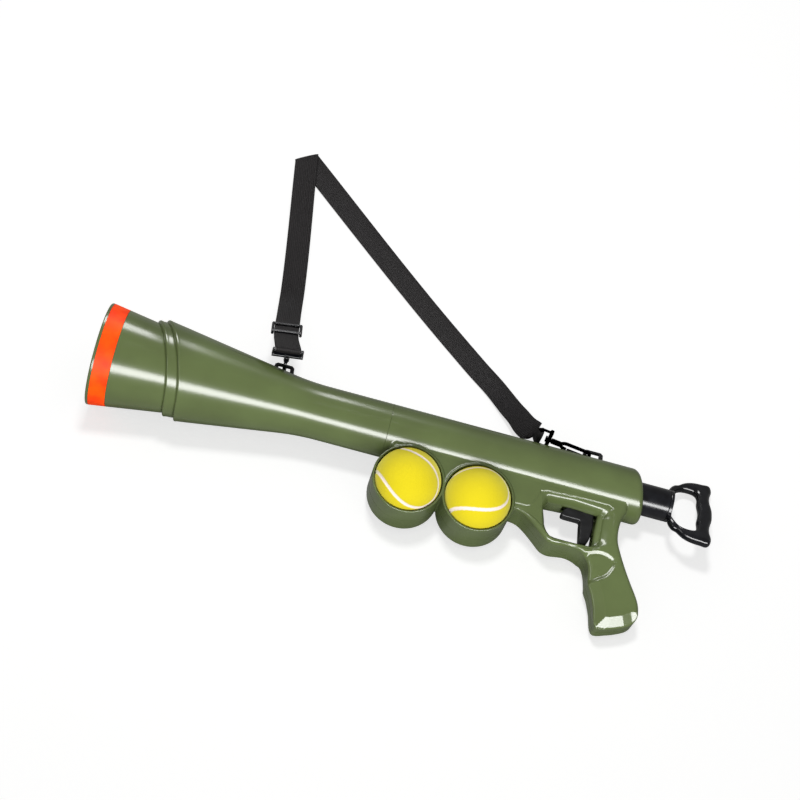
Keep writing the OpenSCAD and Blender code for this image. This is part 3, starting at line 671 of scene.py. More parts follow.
blend_angle = math.atan(CONE_FALL)
blend_end = CONE_END + BLEND_R * math.tan(blend_angle / 2)
blend_start = blend_end - BLEND_R * math.sin(blend_angle)


def front_cone(x):
    """Radius of the front cone."""
    return MOUTH_R - FRONT_FALL * x


def long_cone(x):
    """Radius of the long cone, its blend and the barrel."""
    x = np.asarray(x, float)
    arc = BARREL_R + BLEND_R - np.sqrt(BLEND_R**2 - np.clip(blend_end - x, 0, blend_end - blend_start) ** 2)
    return np.where(x < blend_start, BARREL_R + CONE_FALL * (CONE_END - x), arc)


# %% Front barrel
RING_X = 60.8
RING_W = 10.1
RING_H = 3.3
second = RING_X + RING_W
outside = [
    (BAND_END + 0.05, front_cone, -0.3, 0),
    (BAND_END + 0.35, front_cone, 0, 0),
    (25, front_cone, 0, 0.1),
    (32, front_cone, 0, 0.4),
    (44, front_cone, 0, 0.8),
]
rise = [(-2.2, 0), (-0.9, -0.1), (-0.4, -0.45), (-0.1, -0.5), (0.1, 0.6), (0.35, 1.5), (0.8, 2.5), (1.4, 3.1)]
rise += [(2.1, 3.4), (3.2, 3.3), (5.5, 3.2)]
outside += [(RING_X + x, front_cone, high, 1) for x, high in rise]
outside += [(second + x, long_cone, high - RING_H, 1) for x, high in rise]
outside += [
    (90, long_cone, 0, 0.8),
    (104, long_cone, 0, 0.4),
    (120, long_cone, 0, 0),
]
outside += [(x, long_cone, 0, 0) for x in range(130, 295, 6)]
outside += [(JOINT_X, long_cone, 0, 0)]
inside = [(JOINT_X, 18.4), (284, 18.4), (284, 24.5), (228, 24.5), (204, 25.4), (176, 29.6), (174, 18.4)]
inside += [(168, 18.4), (168, 16.8), (158, 25.3), (148, 33.8), (140, 33.8), (138, 35.4), (88.3, 42.9)]
inside += [(86.3, 36.2), (22.3, 45.9), (22.3, 47.65), (BAND_END + 0.05, 47.65)]
turned(
    "front_barrel_moulding",
    outside + [(x, r, 0, 0) for x, r in inside],
    "launcher",
    ["front_barrel"],
    olive_abs,
)
print("bell is", round(2 * float(front_cone(BAND_END)), 1), "mm across behind the band")

# %% [markdown]
# The mouth is closed by a green ring with a rounded lip, and the orange band sits between the lip and the
# bell. Both are turned too. The lip is rounded by 1.4 mm on the outside and 1.2 mm on the inside, where a
# ball is pushed in, so no sharp edge meets the felt.

# %% Muzzle lip and band
lip_r = front_cone(LIP)
arcs = np.radians(np.arange(0, 91, 15))
lip = [(1.4 - 1.4 * math.sin(a), lip_r - 1.4 + 1.4 * math.cos(a), 0, 0) for a in arcs]
lip += [(1.2 - 1.2 * math.cos(a), BORE_R + 1.2 - 1.2 * math.sin(a), 0, 0) for a in arcs]
lip += [(22, BORE_R, 0, 0), (22, BORE_R + 1.6, 0, 0), (LIP, BORE_R + 1.6, 0, 0), (LIP, lip_r, 0, 0)]
turned("muzzle_lip_ring", lip, "launcher", ["muzzle_cap"], olive_abs)
band = [
    (LIP + 0.05, front_cone, -0.25, 0),
    (LIP + 0.3, front_cone, 0, 0),
    (BAND_END - 0.3, front_cone, 0, 0),
    (BAND_END - 0.05, front_cone, -0.25, 0),
    (BAND_END - 0.05, BORE_R + 1.65, 0, 0),
    (LIP + 0.05, BORE_R + 1.65, 0, 0),
]
turned("muzzle_orange_band", band, "launcher", ["muzzle_band"], orange_abs)

# %% [markdown]
# ## The half shells
# The rear of the barrel, the web under it, the two cups, the trigger housing and the grip are one flowing
# moulding in two halves. A sculptor would model it as a sum of simple forms with fillets, and a distance
# field does the same. The side outline is the silhouette. The half thickness falls towards
# the grip's end, and is carved by a panel and a soft scoop round the trigger opening, the leaf-shaped
# thumb rest and the chamfer along the grip's front.

# %% Outlines of the web, opening and grip details
SIDE = [(303, -8), (303, -40), (340, -60), (390, -62), (424, -55), (434, -54.5), (444, -56.3), (454, -62.7)]
SIDE += [(464, -71.2), (472, -77.8), (480, -79.8), (488, -78.8), (496, -77.8), (503, -78.6), (510, -81.4)]
SIDE += [(515.7, -87), (519.2, -96.3), (521.4, -109.5), (525.9, -118.5), (531, -133.2), (536, -150.2)]
SIDE += [(549, -148.7), (564, -142.5), (571.5, -137), (574.6, -130), (573.6, -120.3), (569.3, -110.6)]
SIDE += [(562.1, -99.1), (553.6, -84.6), (546.4, -70.6), (542, -60), (540.6, -50), (540.8, -42), (542, -34)]
SIDE += [(545, -26), (545, -8)]
OPENING = [(467, -34.5), (519, -34.5), (523, -39), (523, -64), (519, -69), (512, -70.8), (480, -70.8)]
OPENING += [(474, -68.5), (469.5, -63), (467, -55)]
PANEL = [(431.4, -49), (446.1, -48.3), (451.2, -44.5), (456.6, -32.5), (463.8, -27), (526.3, -25), (528, -31)]
PANEL += [(524, -40), (524, -66), (518, -76), (480, -76), (466, -66), (450, -56), (436, -53)]
LEAF = [(514.7, -115), (524.8, -108.6), (536.9, -101.1), (542.3, -92.6), (544.8, -84.1), (541.3, -77.8)]
LEAF += [(528.7, -73.7), (515.8, -77), (508, -84), (507, -100)]
GRIP_FRONT = [(515.7, -87), (519.2, -96.3), (521.4, -109.5), (525.9, -118.5), (531, -133.2), (536, -150.2)]
GRIP_FRONT += [(549, -148.7), (564, -142.5), (571.5, -137)]

SCOOP = [(462, -27), (524, -26), (536, -38), (537, -62), (525, -72.5), (478, -75.5), (465, -65), (461, -45)]

side_of = outline_field(softened(SIDE, 2, hard=(0, 1, 34, 35)))
opening_of = outline_field(softened(OPENING, 1))
panel_of = outline_field(softened(PANEL, 1))
scoop_of = outline_field(softened(SCOOP, 2))
leaf_of = outline_field(softened(LEAF, 2))
front_edge = outline_field(GRIP_FRONT + GRIP_FRONT[-2:0:-1])
print("side outline is", max(p[0] for p in SIDE) - min(p[0] for p in SIDE), "mm long")

# %% Thickness of the web and grip
WEB_HALF = 20
GRIP_HALF = 16.5
GRIP_END = (540, -160)
GRIP_LEAN = math.radians(25)
GRIP_TAPER = math.tan(math.radians(2.5))


def half_thickness(x, y):
    """Half thickness of the web and grip, with the panel, thumb rest and chamfer carved in."""
    rise = -(x - GRIP_END[0]) * math.sin(GRIP_LEAN) + (y - GRIP_END[1]) * math.cos(GRIP_LEAN)
    half = np.minimum(GRIP_HALF + rise * GRIP_TAPER, WEB_HALF)
    half = half - 0.8 * ramp(-panel_of(x, y), -0.5, 0.5)
    into, away = np.maximum(-scoop_of(x, y), 0), np.maximum(opening_of(x, y), 0)
    half = half - 6.5 * (into / (into + away + 0.5)) ** 2
    half = half - 2.6 * ramp(-leaf_of(x, y), 0, 5) * ramp(x, 505, 512)
    chamfer = 0.62 * np.maximum(0, 10 - np.abs(front_edge(x, y))) * ramp(-y, 92, 112)
    return half - chamfer


# %% [markdown]
# The outer form is the barrel with its slanted, well rounded rear face, joined to the web by a small fillet,
# and the two cups. The front cup reaches past the joint with the front barrel, so the joint's plane
# cuts the barrel and web only. The cuts follow: the bores of the cups, the trigger opening with its well
# rounded rim, the bore for the pull tube, the room for the mechanism, and the screw pockets of the right
# half. At its rear the opening narrows to a slot in the grip, in which the trigger moves.

# %% Field of the half shells
CUP_X = 327
CUP_PITCH = 70.6
CUP_Y = 54
CUP_R = 33.8
CUP_WALL = 2.2
CUP_HALF = 22
CUP_FLOOR = 2
REAR_X = 556
REAR_SLANT = math.tan(math.radians(13.5))
SCREWS = [(362.3, -25.5, 20), (442, -35, 20), (479, -75.3, 20), (532.5, -57, 20), (529, -98, 19)]
SCREWS += [(556, -138, 16.5)]
SCREW_HEAD_R = 3.0
SCREW_DEPTH = 4
REAR_ROUND = 6
WEB_FILLET = 1.6
CUP_FILLET = 2.0
OPENING_ROUND = 5.0
SLOT_FRONT = 518
SLOT_HALF = 7.5
JOINT_GAP = 0.02
BORES = ((290, 432, 18.4), (431, 442, 21.2), (441, 540, 24.5), (539, 600, 17.0))


def block(x, y, centre, half):
    """A flat rectangle, from its middle and its half sizes."""
    return np.maximum(np.abs(x - centre[0]) - half[0], np.abs(y - centre[1]) - half[1])


def shell_field(x, y, z):
    """Both half shells as one form, in the launcher's axes."""
    axle = np.hypot(y, z)
    rear = (x - REAR_X + REAR_SLANT * y) / math.hypot(1, REAR_SLANT)
    form = round_and(axle - BARREL_R, rear, REAR_ROUND)
    depth = np.abs(z)
    half = half_thickness(x, y)
    edge = 4.6 - 3.2 * ramp(-y, 95, 112) * ramp(-np.abs(front_edge(x, y)), -12, -7)
    web = round_and(side_of(x, y), depth - half, edge)
    form = np.maximum(round_or(form, web, WEB_FILLET), JOINT_X + JOINT_GAP - x)
    cups = 99.0
    bores = 99.0
    for centre in (CUP_X, CUP_X + CUP_PITCH):
        off = np.hypot(x - centre, y + CUP_Y)
        cups = np.minimum(cups, round_and(off - CUP_R - CUP_WALL, depth - CUP_HALF, 1.0))
        bores = np.minimum(bores, np.maximum(off - CUP_R, CUP_FLOOR - CUP_HALF - z))
    cups = np.maximum(cups, np.minimum(BARREL_R + 0.3 - axle, JOINT_X + JOINT_GAP - x))
    form = round_or(form, cups, CUP_FILLET)
    form = round_and(form, -bores, 0.9)
    hole = np.maximum(opening_of(x, y), np.minimum(x - SLOT_FRONT, depth - SLOT_HALF))
    form = round_and(form, -hole, OPENING_ROUND)
    for start, end, radius in BORES:
        form = np.maximum(form, -np.maximum(axle - radius, np.abs(x - (start + end) / 2) - (end - start) / 2))
    sear_room = np.maximum(block(x, y, (499, -21.5), (41, 10)), depth - 9.5)
    trigger_slot = np.maximum(block(x, y, (503, -34), (20, 6)), depth - 5.8)
    form = np.maximum(form, -np.minimum(sear_room, trigger_slot))
    for sx, sy, face in SCREWS:
        pocket = np.maximum(np.hypot(x - sx, y - sy) - SCREW_HEAD_R, z + face - SCREW_DEPTH)
        form = round_and(form, -pocket, 0.5)
    return form


shell_step = 0.9
shell_p, shell_quads, shell_n = surface_of(shell_field, (289, -156, -29), (578, 30, 29), shell_step)
print("shell surface:", len(shell_p), "points at", shell_step, "mm")

# %% [markdown]
# The form is then parted along its middle plane, as the mould parts it. Each half keeps the faces on its
# side, cut cleanly at the plane. A real parting line is a shallow groove where the two rounded edges meet,
# so the points within half a millimetre of the plane sink a little.


# %% Part the shells
PARTING_GAP = 0.02
GROOVE_REACH = 0.5
GROOVE_DEPTH = 0.25


def half_of(points, quads, normals, side):
    """Faces on one side of the middle plane, with the faces across it cut at the plane."""
    z = points[:, 2] * side
    keep = z[quads].max(1) > PARTING_GAP
    mine = quads[keep]
    used, place_of = np.unique(mine, return_inverse=True)
    p, n = points[used].copy(), normals[used].copy()
    over = p[:, 2] * side < PARTING_GAP
    p[over, 2] = PARTING_GAP * side
    seam = np.clip(1 - np.abs(p[:, 2]) / GROOVE_REACH, 0, 1)
    p -= n * (GROOVE_DEPTH * seam)[:, None]
    return p, place_of.reshape(mine.shape), n


for word, side, node in (("left", 1, "left_shell"), ("right", -1, "right_shell")):
    p, q, n = half_of(shell_p, shell_quads, shell_n, side)
    n = n @ AXES
    name = word + "_shell_moulding"
    new_piece(name, lay_down(p), q, "launcher", [node], olive_abs, normals=n)

# %% [markdown]
# ## The tennis balls
# A tennis ball's seam is one closed curve, the same on every ball: two figure-of-eight panels meet along
# it. The curve has a simple formula, so each point of a fine sphere gets its distance to the nearest point
# of the curve. The seam lies a little below the felt. Each ball is turned so that its seam shows as it does
# when dropped into the cups.

# %% Ball with its seam
BALL_R = 33.2
SEAM_A, SEAM_B = 0.75, 0.25


def ball(name, node, centre, tilt, body):
    """A felt ball whose seam curve is turned by three angles in degrees."""
    rows, columns = ((200, 400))
    round_way = np.arange(columns) * 2 * math.pi / columns
    v, u = np.meshgrid(np.linspace(0, math.pi, rows + 1), round_way, indexing="ij")
    way = np.stack([np.sin(v) * np.cos(u), np.sin(v) * np.sin(u), np.cos(v)], 2).reshape(-1, 3)
    t = np.linspace(0, 2 * math.pi, 720, endpoint=False)
    seam = np.stack(
        [
            SEAM_A * np.cos(t) + SEAM_B * np.cos(3 * t),
            SEAM_A * np.sin(t) - SEAM_B * np.sin(3 * t),
            2 * math.sqrt(SEAM_A * SEAM_B) * np.sin(2 * t),
        ],
        1,
    )
    spin = np.eye(3)
    for axis, angle in zip("XYZ", tilt):
        spin = np.array(Matrix.Rotation(math.radians(angle), 3, axis)) @ spin
    away = np.full(len(way), -1.0)
    for part in np.array_split(seam @ spin.T, 24):
        away = np.maximum(away, (way @ part.T).max(1))
    away = BALL_R * np.arccos(np.clip(away, -1, 1))
    size = BALL_R - 0.55 * np.exp(-((away / 1.5) ** 2))
    points = way * size[:, None] + np.array(centre)
    i, k = np.meshgrid(np.arange(rows), np.arange(columns), indexing="ij")
    m = (k + 1) % columns
    quads = np.stack([i * columns + k, (i + 1) * columns + k, (i + 1) * columns + m, i * columns + m], 2)
    piece = new_piece(name, lay_down(points), quads.reshape(-1, 4), body, [node], tennis_felt)
    store(piece, "seam_mm", away)


ball_z = CUP_FLOOR - CUP_HALF + BALL_R + 0.3
ball("front_tennis_ball", "front_ball", (CUP_X, -CUP_Y, ball_z), (-116.7, 52.5, -139.9), "front_ball")
ball("rear_tennis_ball", "rear_ball", (CUP_X + CUP_PITCH, -CUP_Y, ball_z), (-89.8, 38.4, -77.1), "rear_ball")

# %% [markdown]
# ## Trigger, pull tube and handle
# The trigger is a thick nylon lever with rounded edges. The handle is a wide D: its two arms spring from
# the end of the pull tube and its grip bar is waved for the fingers. Both are outlines with a
# thickness and a generous rounding, which is how such parts are drawn for the mould.

# %% Trigger
TRIGGER_AT = (497, -27)
TRIGGER_SIDE = [(-12.4, -15.4), (-12.4, -8.5), (-8, -3.5), (-4, 4.5), (2, 5), (8, 3.8), (12.6, 1.9)]
TRIGGER_SIDE += [(16.4, 0.9), (17.6, -3), (19.2, -13), (19.8, -21.6), (18.6, -32), (15.5, -39.3)]
TRIGGER_SIDE += [(10.5, -40), (8.3, -35), (6.2, -20), (4, -15.8)]
trigger_line = [(TRIGGER_AT[0] + x, TRIGGER_AT[1] + y) for x, y in softened(TRIGGER_SIDE, 2)]
trigger_of = outline_field(trigger_line, 6, 0.2)


def trigger_field(x, y, z):
    """Lever with rounded edges and the hole for its pin."""
    lever = round_and(trigger_of(x, y), np.abs(z) - 5.5, 1.6)
    return np.maximum(lever, 1.55 - np.hypot(x - TRIGGER_AT[0], y - TRIGGER_AT[1]))


moulded(
    "trigger_lever", trigger_field, (483, -69, -7), (519, -20, 7), 0.5, "trigger", ["trigger"],
    "black_plastic", black_nylon,
)

# %% [markdown]
# The pull tube is a plain round extrusion with slightly broken edges. It is turned on the lathe like the
# bell, and only its length outside the barrel shows at rest.

# %% Pull tube
TUBE_R = 16.25
TUBE_END = 587
tube = [(442, 5.1), (441.4, TUBE_R - 0.8), (442.2, TUBE_R), (TUBE_END - 0.6, TUBE_R)]
tube += [(TUBE_END, TUBE_R - 0.5), (TUBE_END, TUBE_R - 2), (447, TUBE_R - 2), (447, 5.1)]
turned(
    "pull_tube_extrusion", [(x, r, 0, 0) for x, r in tube], "handle", ["plunger_tube"],
    black_acetal,
)

# %% [markdown]
# The handle is drawn as half an outline, outer and inner, and mirrored. Two fields cut against each other
# give the D, a large rounding makes it round in the hand, and a disc and a plug join it to the tube. It is
# rolled about the barrel's axis, because it can turn on the tube and lies a little turned at rest.

# %% D handle
HANDLE_ROLL = math.radians(27)
HANDLE_OUTER = [(0, 16), (2, 27.5), (8, 35.5), (14.5, 42.5), (21.5, 46.5), (29, 48.3), (38, 48.5), (43, 47.2)]
HANDLE_OUTER += [(45, 43.5), (45.3, 38), (44, 32), (43.4, 24), (44.4, 16), (46, 8), (46.3, 0)]
HANDLE_INNER = [(3.5, 0), (3.5, 14.5), (7.5, 23.5), (13.5, 30), (19, 32), (26, 31.5), (28.7, 28), (29.5, 22)]
HANDLE_INNER += [(29, 15), (30, 7), (30.6, 0)]


def mirrored(points):
    """The other half of a handle outline is its mirror image."""
    return points + [(x, -y) for x, y in points[::-1] if y > 0]


outer_of = outline_field([(TUBE_END + x, y) for x, y in softened(mirrored(HANDLE_OUTER), 2)], 10, 0.25)
inner_of = outline_field([(TUBE_END + x, y) for x, y in softened(mirrored(HANDLE_INNER), 2)], 10, 0.25)
SLIMMER = 1.3


def handle_field(x, y, z):
    """Handle and its plug, in axes rolled with the handle."""
    arms = ramp(x, TUBE_END + 5, TUBE_END + 12)
    wide = y * (1 + 0.045 * arms)
    inner = inner_of(x, wide) - SLIMMER * arms
    outer = outer_of(x, wide) + SLIMMER * arms * ramp(-x, -TUBE_END - 42, -TUBE_END - 34)
    frame_ring = np.maximum(outer, -inner)
    bar = round_and(outer, np.abs(z) - 5.2, 4.6)
    bar = round_and(bar, -inner, 4.6)
    bar = np.maximum(bar, frame_ring)
    disc = round_and(np.hypot(y, z) - TUBE_R, np.abs(x - TUBE_END - 1.75) - 1.75, 0.7)
    plug = np.maximum(np.hypot(y, z) - TUBE_R + 2.05, np.abs(x - TUBE_END + 6.5) - 7.5)
    return np.minimum(round_or(bar, disc, 2.0), plug)


def roll_handle(points):
    """Rolls the handle about the barrel's axis and lays it down."""
    x, y, z = np.asarray(points, float).T
    c, s = math.cos(HANDLE_ROLL), math.sin(HANDLE_ROLL)
    return lay_down(np.stack([x, c * y + s * z, c * z - s * y], 1))


moulded(
    "d_handle", handle_field, (572, -50, -17.5), (635, 50, 17.5), 0.75, "handle", ["pull_handle"],
    "glossy_black_plastic", black_acetal, roll_handle,
)

# %% [markdown]
# ## Strap hardware
# Each eye is a moulded staple pushed into the barrel. A snap hook is a long ring with a sprung wire gate,
# and a loop that carries the webbing turns on its shank. All are small, so their rounded edges are
# what shows: the fields use small steps of a third of a millimetre.

# %% Strap eyes
EYE_H = 9.3
EYE_BAR = 2.5
EYE_FOOT = 1.4
EYE_HALF = 2.2
FRONT_EYE_X = 180.5
REAR_EYE_X = 503.5


def strap_eye(name, node, at, r):
    """A staple at this place on the barrel, which has radius r there."""
    outer = [(-11, r - 1.5), (11, r - 1.5), (10, r + EYE_H - 2), (7.5, r + EYE_H), (-7.5, r + EYE_H)]
    outer += [(-10, r + EYE_H - 2)]
    hole = [(-6.5, r + EYE_FOOT), (6.5, r + EYE_FOOT), (6, r + EYE_H - EYE_BAR), (-6, r + EYE_H - EYE_BAR)]
    outer_at = outline_field([(at + x, y) for x, y in outer], 5, 0.2)
    hole_at = outline_field([(at + x, y) for x, y in hole], 5, 0.2)

    def staple(x, y, z):
        solid = round_and(outer_at(x, y), np.abs(z) - EYE_HALF, 0.9)
        solid = round_and(solid, -hole_at(x, y), 0.7)
        return np.maximum(solid, long_cone(x) - 0.1 - np.hypot(y, z))

    low, high = (at - 12, r - 3, -3), (at + 12, r + EYE_H + 1, 3)
    moulded(name, staple, low, high, 0.35, "launcher", [node], "black_plastic", black_nylon)


strap_eye("front_eye_staple", "front_strap_eye", FRONT_EYE_X, float(long_cone(FRONT_EYE_X)))
strap_eye("rear_eye_staple", "rear_strap_eye", REAR_EYE_X, BARREL_R)

# %% Places of the two hooks
HOOK_HALF = 7.5
WIRE = 3.2
HOOK_IN = HOOK_HALF - WIRE
RING_C2 = -(HOOK_IN + WIRE / 2)
RING_C1 = RING_C2 - 19
NECK = RING_C1 - HOOK_HALF - 9
LOOP_X = NECK - 13
WEB_W = 25
LOOP_HALF = WEB_W / 2 + 3.2
LOOP_R = 1.4
FRONT_LOOP_TURN = 82
REAR_LOOP_TURN = 5
RING_Y = float(long_cone(FRONT_EYE_X)) + 2.3 + HOOK_HALF
RING_Z = 3
NOSE = np.array([REAR_EYE_X - 3.4, BARREL_R + 3.8, 0])
LEAN = math.radians(7.5)


def hang_front(points):
    """The front hook hangs down beside the barrel."""
    x, y, z = np.asarray(points, float).T
    return lay_down(np.stack([FRONT_EYE_X + z, RING_Y + y, RING_Z - (x - RING_C1)], 1))


def draw_rear(points):
    """The rear hook is drawn out flat along the barrel."""
    x, y, z = np.asarray(points, float).T
    c, s = math.cos(LEAN), math.sin(LEAN)
    flat_x, flat_y, flat_z = x, -z, -y
    return lay_down(np.stack([c * flat_x + s * flat_y, c * flat_y - s * flat_x, flat_z], 1) + NOSE)


def turn_loop(place, degrees):
    """The loop turns on the hook's shank before the hook is placed."""
    c, s = math.cos(math.radians(degrees)), math.sin(math.radians(degrees))

    def put(points):
        x, y, z = np.asarray(points, float).T
        return place(np.stack([x, c * y - s * z, s * y + c * z], 1))

    return put


# %% Hook, gate and loop
def hook_field(x, y, z):
    """Ring with a gap for its gate, neck and shank."""
    along_ring = np.clip(x, RING_C1, RING_C2)
    off = np.abs(np.hypot(x - along_ring, y) - (HOOK_HALF - WIRE / 2))
    ring = round_and(off - WIRE / 2, np.abs(z) - 1.7, 1.2)
    gap = np.maximum(np.abs(x - (RING_C1 + RING_C2 + 0.9) / 2) - 8.9, HOOK_IN - 1 - y)
    ring = round_and(ring, -gap, 0.4)
    neck = round_and(np.hypot(y, z) - 2.9, np.abs(x - NECK - 5) - 5, 0.7)
    shank = np.maximum(np.hypot(y, z) - 2.0, np.abs(x - NECK + 2) - 3)
    head = round_and(np.hypot(y, z) - 3.2, np.abs(x - NECK + 5.4) - 0.8, 0.5)
    return np.minimum(round_or(ring, neck, 1.2), np.minimum(shank, head))


def gate_field(x, y, z):
    """A short bar with round ends that closes the ring."""
    radius = WIRE / 2 - 0.3
    reach = np.clip(x, RING_C1 + 1.5 + radius, RING_C2 - 0.6 - radius)
    flat = np.hypot(x - reach, y - HOOK_IN - WIRE / 2) - radius
    return round_and(flat, np.abs(z) - 1.3, 0.5)


def loop_field(x, y, z):
    """Base that turns on the shank, two arms and the bar that holds the webbing."""
    base = round_and(np.abs(x - NECK + 2.5) - 1.9, np.maximum(np.abs(y) - LOOP_HALF, np.abs(z) - 2.75), 0.9)
    bar = np.hypot(x - LOOP_X, z) - LOOP_R
    bar = np.maximum(bar, np.abs(y) - LOOP_HALF + 0.8)
    arms = np.hypot(np.abs(y) - LOOP_HALF + LOOP_R, z) - LOOP_R
    arms = np.maximum(arms, np.maximum(LOOP_X - x, x - NECK + 3))
    body = round_or(base, round_or(bar, arms, 0.8), 0.8)
    return np.maximum(body, 2.06 - np.hypot(y, z))


HOOK_BOX = ((NECK - 7, -8.5, -4), (3, 8.5, 4))
LOOP_BOX = ((LOOP_X - 3, -17, -4), (NECK + 1, 17, 4))
for word, put, turned_by in (("front", hang_front, FRONT_LOOP_TURN), ("rear", draw_rear, REAR_LOOP_TURN)):
    moulded(
        word + "_snap_hook", hook_field, *HOOK_BOX, 0.35, word + "_hook", [word + "_hook"],
        "glossy_black_plastic", black_acetal, put,
    )
    moulded(
        word + "_gate_bar", gate_field, *HOOK_BOX, 0.3, word + "_gate", [word + "_hook_gate"], "zinc_steel",
        zinc_steel, put,
    )
    moulded(
        word + "_webbing_loop", loop_field, *LOOP_BOX, 0.35, word + "_swivel", [word + "_swivel_loop"],
        "glossy_black_plastic", black_acetal, turn_loop(put, turned_by),
    )

# %% [markdown]
# The slider sets the strap's length: a frame with two outer bars over the webbing and one under it, so
# that friction holds. Its outer corners are well rounded and its bars domed.

# %% Slider
SLIDER_AT = np.array([173.5, 72, GROUND + 61.5])
SLIDER_TURN = math.radians(7.5)
SLIDER_TILT = math.radians(-33)
SLIDER_HALF = WEB_W / 2 + 3.1


def put_slider(points):
    """Tilts and turns the slider on the front leg of the strap."""
    x, y, z = np.asarray(points, float).T
    c, s = math.cos(SLIDER_TILT), math.sin(SLIDER_TILT)
    y, z = c * y - s * z, s * y + c * z
    c, s = math.cos(SLIDER_TURN), math.sin(SLIDER_TURN)
    return (np.stack([c * x - s * y, s * x + c * y, z], 1) + SLIDER_AT) / 1000


def slider_field(x, y, z):
    """Two side rails, two bars above the webbing and one below."""
    rail = round_and(np.abs(np.abs(x) - SLIDER_HALF + 1.4) - 1.4, np.abs(z - 1.2) - 3.0, 1.1)
    rail = round_and(rail, np.abs(y) - 10, 2.4)
    over = round_and(np.abs(np.abs(y) - 8.5) - 1.5, np.abs(z - 2.975) - 1.225, 1.0)
    over = np.maximum(over, np.abs(x) - SLIDER_HALF + 1)
    under = round_and(np.abs(y) - 1.5, np.abs(z + 1.05) - 0.75, 0.5)
    under = np.maximum(under, np.abs(x) - SLIDER_HALF + 1)
    return np.minimum(round_or(rail, over, 0.9), under)


moulded(
    "strap_adjuster", slider_field, (-17, -11.5, -3), (17, 11.5, 5.5), 0.4, "slider", ["strap_slider"],
    "glossy_black_plastic", black_acetal, put_slider,
)

# %% [markdown]
# ## The strap
# The webbing is one ribbon, 25 mm wide and 1.6 mm thick. It starts at the front loop, runs up through the
# slider to the ground, is folded over at the far corner, comes back along the ground and twists up
# to the rear loop. Each station holds both edges and the way the outer face looks. A curve that never
# overshoots joins the stations, so the strap lies flat and doesn't dip into the ground.

# %% Stations of the route
WEB_T = 1.6
BAR_GAP = (LOOP_R + 0.3) / math.cos(math.radians(22.5))


def local_bar(place, degrees, flip):
    """Both ends of the webbing on a loop's bar, in millimetres in the frame."""
    ends = [(LOOP_X, -flip * WEB_W / 2, 0), (LOOP_X, flip * WEB_W / 2, 0)]
    return turn_loop(place, degrees)(ends) * 1000


def unit(v):
    """The direction of a vector."""
    return v / np.linalg.norm(v)


def on_ground(rows):
    """Stations given as two edge places with their heights over the ground."""
    return [(np.array(r[:3]) + [0, 0, GROUND], np.array(r[3:]) + [0, 0, GROUND]) for r in rows]


FRONT_LEG = [(162.4, 60.4, 68, 187.2, 63.6, 68), (159.8, 80.4, 55, 184.6, 83.6, 55)]
FRONT_LEG += [(157.6, 98.8, 38, 182.4, 101.3, 38), (154.6, 123.6, 16, 179.4, 126.5, 16)]
FRONT_LEG += [(152.6, 141.3, 5, 177.4, 144.7, 5), (151.1, 155.3, 2.2, 175.9, 158.7, 2.2)]
FRONT_LEG += [(126, 326, 2.2, 148.6, 340.5, 2.2)]
REAR_LEG = [(126, 326, 1.8, 148.6, 340.5, 1.8), (291.6, 172.8, 1.8, 308.4, 191.3, 1.8)]
REAR_LEG += [(361.6, 111.8, 1.8, 378.4, 130.3, 1.8), (388.3, 89.5, 2.6, 405.1, 108, 2.2)]
REAR_LEG += [(403.9, 72.9, 5, 422.8, 89.3, 6), (414.6, 60.8, 9, 431.5, 79.5, 10.5)]
REAR_LEG += [(422.9, 49.2, 12, 439.4, 68, 18), (431, 42.5, 15, 446, 59, 27), (436.5, 42, 17, 445.5, 51, 38.5)]
REAR_LEG += [(441.4, 43.1, 22.5, 442.5, 41.3, 47.2)]
FOLD_OUT = np.array([-0.54, 0.84, 0])
FOLD_DROP = 0.2
TAIL_SHARES = (0.9, 0.5, 0.2)


def round_the_bar(bar, nxt, tail):
    """Rows of the ribbon from its sewn tail round a bar, with the way its outer face looks."""
    a, b = bar
    along_bar = unit(b - a)
    away = (nxt[0] + nxt[1] - a - b) / 2
    away = unit(away - along_bar * (away @ along_bar))
    face = unit(np.cross(along_bar, away))
    if tail < 0:
        face = -face
    rows = []
    for share in TAIL_SHARES:
        ends = [(1 - share) * (p + face * -BAR_GAP) + share * (q - face * 0.3) for p, q in zip(bar, nxt)]
        rows.append((ends[0], ends[1], -face))
    for angle in np.radians(np.arange(0, 181, 20)):
        out = -face * math.cos(angle) - away * math.sin(angle)
        rows.append((a + BAR_GAP * out, b + BAR_GAP * out, out))
    return rows


# %% The ribbon's rows
def smooth_rows(rows, spacing=3.0):
    """More rows along a run, on a curve that keeps between its stations."""
    edges = np.array([[r[0], r[1], r[2]] for r in rows])
    gaps = np.linalg.norm(np.diff(edges[:, :2].mean(1), axis=0), axis=1)
    at = np.concatenate([[0], np.cumsum(np.maximum(gaps, 1e-6))])
    steps = np.diff(edges, axis=0) / np.diff(at)[:, None, None]
    same = steps[:-1] * steps[1:] > 0
    slopes = np.zeros_like(edges)
    slopes[1:-1] = np.where(same, 2 * steps[:-1] * steps[1:] / np.where(same, steps[:-1] + steps[1:], 1), 0)
    slopes[0], slopes[-1] = steps[0], steps[-1]
    out = []
    for i, gap in enumerate(np.diff(at)):
        count = max(1, int(round(gap / spacing)))
        for t in np.arange(count) / count:
            h = (2 * t**3 - 3 * t**2 + 1, t**3 - 2 * t**2 + t, 3 * t**2 - 2 * t**3, t**3 - t**2)
            row = h[0] * edges[i] + h[1] * gap * slopes[i] + h[2] * edges[i + 1] + h[3] * gap * slopes[i + 1]
            out.append(row)
    out.append(edges[-1])
    return out


